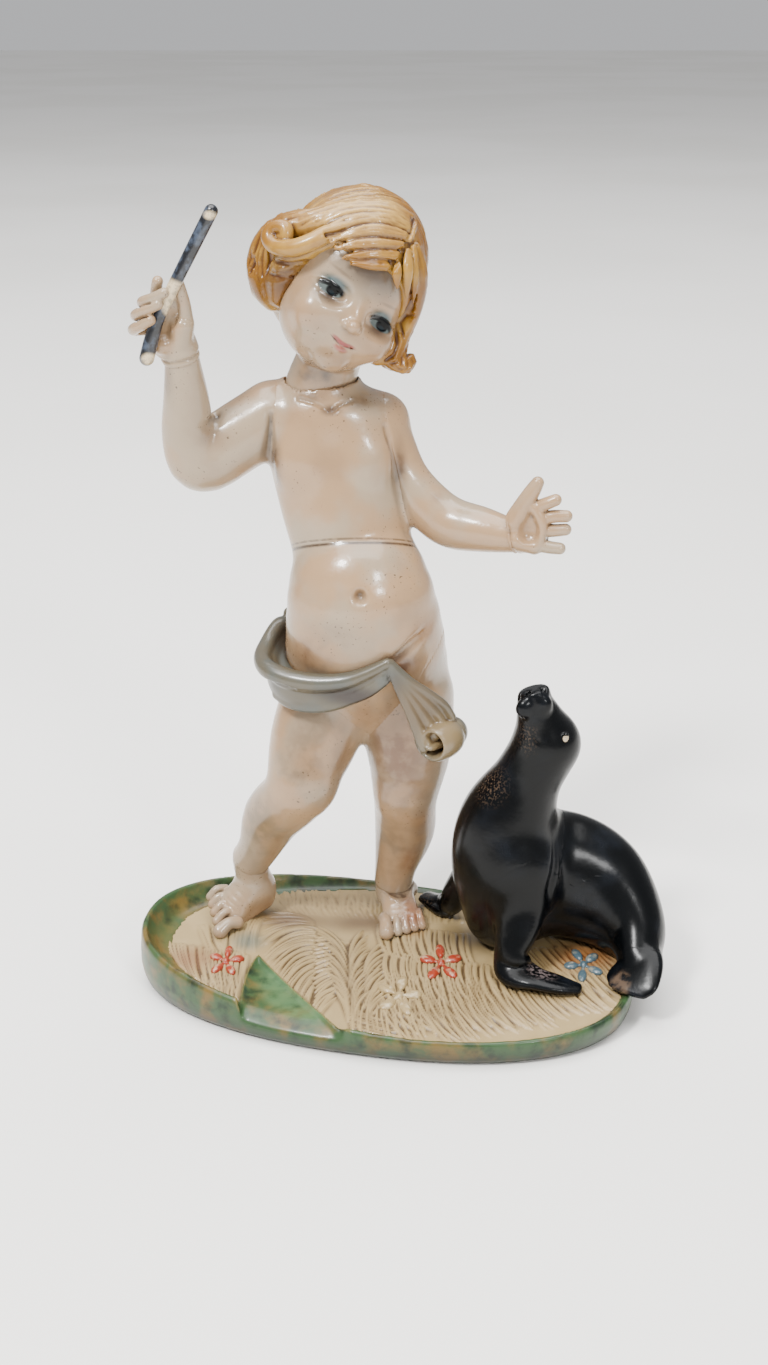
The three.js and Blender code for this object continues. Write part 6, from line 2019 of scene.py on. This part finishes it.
class PuttoColours(bpy.types.PropertyGroup):
    ivory: colour_field("Ivory", "#9A7C5C", "Colour of the aged plastic")
    ivory_pale: colour_field("Pale ivory", "#95856F", "Colour of the plastic where it stayed pale")
    wash: colour_field("Wash", "#200F07", "Brown rubbed into the creases")
    hair: colour_field("Hair", "#7C5214", "Ochre of the hair")
    hair_pale: colour_field("Pale hair", "#9C7630", "Ochre where it is rubbed thin")
    seal: colour_field("Seal", "#030405", "Black of the seal")
    leaf: colour_field("Leaf", "#30482A", "Green of the rim")
    grass: colour_field("Grass", "#9A845C", "Ivory of the ground")
    cloth: colour_field("Cloth", "#504A3C", "Greyish ivory of the drape")
    baton: colour_field("Baton", "#0A0C12", "Blue-black of the baton")
    petal_red: colour_field("Red petals", "#8A2E18", "Orange red of the petals")
    petal_blue: colour_field("Blue petals", "#3E5058", "Grey blue of the petals")
    floor: colour_field("Floor", "#F4F2EE", "Pale floor")


# Operators


class PUTTO_OT_base(bpy.types.Operator):
    """Leaf-rimmed tray, grass relief and flowers"""

    bl_idname = "putto.base"
    bl_label = "Model the base"

    def execute(self, context):
        finish_piece("leaf_tray", tray_clay(), leaf_glaze(), ["base_tray"])
        build_grass(rubbed_ground())
        petals = {
            "red": petal_paint("red_petals", paints().petal_red, 0.5),
            "blue": petal_paint("blue_petals", paints().petal_blue, 0.3),
            "ivory": petal_paint("ivory_petals", paints().grass, 0.6),
        }
        for name, (at, turn, size) in FLOWERS.items():
            hue = name.split("_")[1]
            clay = flower_clay(at, turn, size)
            finish_piece(name + "_relief", clay, petals[hue], [name], fine=0.6)
        return {"FINISHED"}


class PUTTO_OT_body(bpy.types.Operator):
    """Trunk, arms and legs, cut at their seams"""

    bl_idname = "putto.body"
    bl_label = "Model the body"

    def execute(self, context):
        ivory = moulded_ivory()
        lip = settings().lip / MM
        groins = {"left": (GROIN, LEFT_CREASE), "right": (GROIN, RIGHT_CREASE)}
        middle = {"left": (GROIN, (1, 0, 0)), "right": (GROIN, (-1, 0, 0))}
        ankles = {
            "left": (LEFT_ANKLE, tuple(np.subtract(LEFT_KNEE, LEFT_ANKLE))),
            "right": (RIGHT_ANKLE, tuple(np.subtract(RIGHT_KNEE, RIGHT_ANKLE))),
        }
        wrists = {"left": (LEFT_WRIST, LEFT_HAND_WAY), "right": (RIGHT_WRIST, RIGHT_HAND_WAY)}
        pelvis = [away(groins[side], 0, True, 0, lip) for side in groins]
        chest = [away(seam, 0, True, 0, lip) for seam in (RIGHT_ARM_SEAM, LEFT_ARM_SEAM)]
        legs, arms = {}, {}
        for side, dark, shoulder in (("left", 0.7, LEFT_ARM_SEAM), ("right", 0.1, RIGHT_ARM_SEAM)):
            legs[side] = [away(groins[side]), away(middle[side], lip=0.3)]
            legs[side].append(away(ankles[side], dark, False, 0, lip))
            arms[side] = [away(shoulder), away(wrists[side], 0.2, True, 0, lip)]
        for name, low, high, size, seams in (
            (
                "pelvis", (-25, -6, 46), (20, 34, 101), 0.42,
                [away(WAIST_SEAM, 0.9, True, 0.15, lip), *pelvis],
            ),
            (
                "chest", (-30, 1, 92), (10, 30, 138), 0.4,
                [away(WAIST_SEAM, 0.9, False, 0.15), *chest],
            ),
            ("left_leg", (-6, 0, 10), (20, 34, 90), 0.42, legs["left"]),
            ("right_leg", (-37, -3, 16), (0, 34, 90), 0.42, legs["right"]),
            ("right_arm", (-47, 0, 106), (-19, 26, 142), 0.38, arms["right"]),
            ("left_arm", (-4, 0, 94), (31, 26, 133), 0.38, arms["left"]),
        ):
            clay = Clay(low, high, voxel(size))
            model_body(clay)
            if name == "chest":
                detail_chest(clay)
            if name == "pelvis":
                detail_belly(clay)
            finish_piece(name + "_moulding", clay, ivory, [name], seams)
        for side in ("left", "right"):
            clay, ankle, up = foot_clay(side)
            cut_to_ground(clay)
            finish_piece(
                f"{side}_foot_moulding", clay, ivory, [f"{side}_foot"],
                [away((ankle, tuple(-up)), 0.5 if side == "left" else 0)],
            )
            clay = hand_clay(side)
            finish_piece(
                f"{side}_hand_moulding", clay, ivory, [f"{side}_hand"],
                [away(wrists[side], 0.2)], 0.8,
            )
        steel = drawn_steel()
        for side in ("left", "right"):
            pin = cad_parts[f"{side}_leg_pin"]
            pin.data.materials.clear()
            pin.data.materials.append(steel)
        return {"FINISHED"}


class PUTTO_OT_head(bpy.types.Operator):
    """Head with its painted face, and the combed hair"""

    bl_idname = "putto.head"
    bl_label = "Model the head"

    def execute(self, context):
        own = HEAD_PLACE.inverted()
        seam = (tuple(own @ Vector(NECK_SEAM[0])), tuple(own.to_3x3() @ Vector(NECK_SEAM[1])))
        face = moulded_ivory("moulded_ivory_face", face=True)
        finish_piece(
            "head_moulding", head_clay(), face, ["head"], [away(seam, 0.35)], 0.9,
        )
        finish_piece("hair_moulding", hair_clay(), combed_ochre(), ["hair"], fine=0.8)
        return {"FINISHED"}


class PUTTO_OT_drape(bpy.types.Operator):
    """Cloth round the hips and the baton"""

    bl_idname = "putto.drape"
    bl_label = "Model the drape and the baton"

    def execute(self, context):
        finish_piece(
            "drape_moulding", drape_clay(), draped_plastic(), ["drape"], fine=0.9,
        )
        clay = Clay((-48, -4, 135), (-29, 4, 169), voxel(0.25))
        clay.add(tube(BATON))
        finish_piece("baton_moulding", clay, worn_baton(), ["baton"], fine=0.6)
        return {"FINISHED"}


class PUTTO_OT_seal(bpy.types.Operator):
    """Seal in its five mouldings"""

    bl_idname = "putto.seal"
    bl_label = "Model the seal"

    def execute(self, context):
        black = gloss_black()
        lip = settings().lip / MM
        size = voxel(0.45)
        pieces = [
            (
                "front", (6, -12, 5), (48, 24, 73), size,
                [
                    away(SEAL_SEAM, 0.2, True, 0.1, lip), away(NEAR_SHOULDER, 0, True, 0, lip),
                    away(FAR_SHOULDER, 0, True, 0, lip),
                ],
            ),
            (
                "rear", (30, -14, 4), (66, 26, 46), size,
                [away(SEAL_SEAM, 0.2, False, 0.1), away(FLUKE_SEAM, 0, True, 0, lip)],
            ),
            ("near_flipper", (18, -22, 4), (48, 6, 36), voxel(0.35), [away(NEAR_SHOULDER)]),
            ("far_flipper", (3, 2, 4), (30, 30, 34), voxel(0.35), [away(FAR_SHOULDER)]),
            ("tail_fluke", (42, -24, 3), (66, -2, 22), voxel(0.35), [away(FLUKE_SEAM)]),
        ]
        for name, low, high, size, seams in pieces:
            clay = Clay(low, high, size)
            model_seal(clay)
            cut_to_ground(clay)
            finish_piece(
                f"seal_{name}_moulding", clay, black, [f"seal_{name}"], seams,
            )
        return {"FINISHED"}


class PUTTO_OT_wash(bpy.types.Operator):
    """Brown wash and painted shade in the hollows between the pieces"""

    bl_idname = "putto.wash"
    # The wash rubbed in by this step is brown wash and painted shade together
    bl_label = "Rub in the wash"

    def execute(self, context):
        room.wash()
        return {"FINISHED"}


class PUTTO_OT_stage(bpy.types.Operator):
    """Pale floor, soft studio light and the camera"""

    bl_idname = "putto.stage"
    bl_label = "Set the stage"

    def execute(self, context):
        half = settings().floor_size / 2
        corners = [(-half, -half, 0), (half, -half, 0), (half, half, 0), (-half, half, 0)]
        floor = make_mesh("floor", corners, [(0, 1, 2, 3)])
        floor.data.materials.append(matt_card())
        world = bpy.data.worlds.new("soft_room")
        context.scene.world = world
        world.use_nodes = True
        sky = world.node_tree.nodes["Background"]
        sky.inputs[0].default_value = linear("#F6F7FA")
        sky.inputs[1].default_value = 0.6
        for name, place, size, power in (
            ("key", (-0.42, -0.5, 0.85), 0.18, 15),
            ("side", (0.4, -0.75, 0.55), 0.12, 4),
            ("top", (0, 0, 1.6), 1.6, 60),
        ):
            lamp = bpy.data.lights.new(name, "AREA")
            lamp.size = size
            lamp.energy = power
            made = bpy.data.objects.new(name, lamp)
            context.scene.collection.objects.link(made)
            made.location = place
            aim = Vector((0, 0, 0.08)) - Vector(place)
            made.rotation_euler = aim.to_track_quat("-Z", "Y").to_euler()
        camera = bpy.data.cameras.new("camera")
        camera.lens = 46.95
        camera.sensor_width = 36
        camera.clip_start = 0.01
        made = bpy.data.objects.new("camera", camera)
        context.scene.collection.objects.link(made)
        made.location = (0, -0.340, 0.205)
        made.rotation_euler = Euler((math.radians(68.6), 0, 0))
        context.scene.camera = made
        return {"FINISHED"}


STEPS = (
    PUTTO_OT_base, PUTTO_OT_body, PUTTO_OT_head, PUTTO_OT_drape, PUTTO_OT_seal, PUTTO_OT_wash,
    PUTTO_OT_stage,
)


class PUTTO_PT_panel(bpy.types.Panel):
    """Sizes, colours and steps of the figurine"""

    bl_idname = "PUTTO_PT_panel"
    bl_label = "Putto"
    bl_space_type = "VIEW_3D"
    bl_region_type = "UI"
    bl_category = "Putto"

    def draw(self, context):
        for group in (context.scene.putto_sizes, context.scene.putto_colours):
            for name in group.__annotations__:
                self.layout.prop(group, name)
        for step in STEPS:
            self.layout.operator(step.bl_idname)


CLASSES = (PuttoSizes, PuttoColours, *STEPS, PUTTO_PT_panel)


def register():
    for entry in CLASSES:
        bpy.utils.register_class(entry)
    bpy.types.Scene.putto_sizes = bpy.props.PointerProperty(type=PuttoSizes)
    bpy.types.Scene.putto_colours = bpy.props.PointerProperty(type=PuttoColours)


def unregister():
    del bpy.types.Scene.putto_sizes
    del bpy.types.Scene.putto_colours
    for entry in reversed(CLASSES):
        bpy.utils.unregister_class(entry)


def main():
    register()
    for name in ("base", "body", "head", "drape", "seal", "wash", "stage"):
        getattr(bpy.ops.putto, name)()
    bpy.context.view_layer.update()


if __name__ == "__main__":
    main()
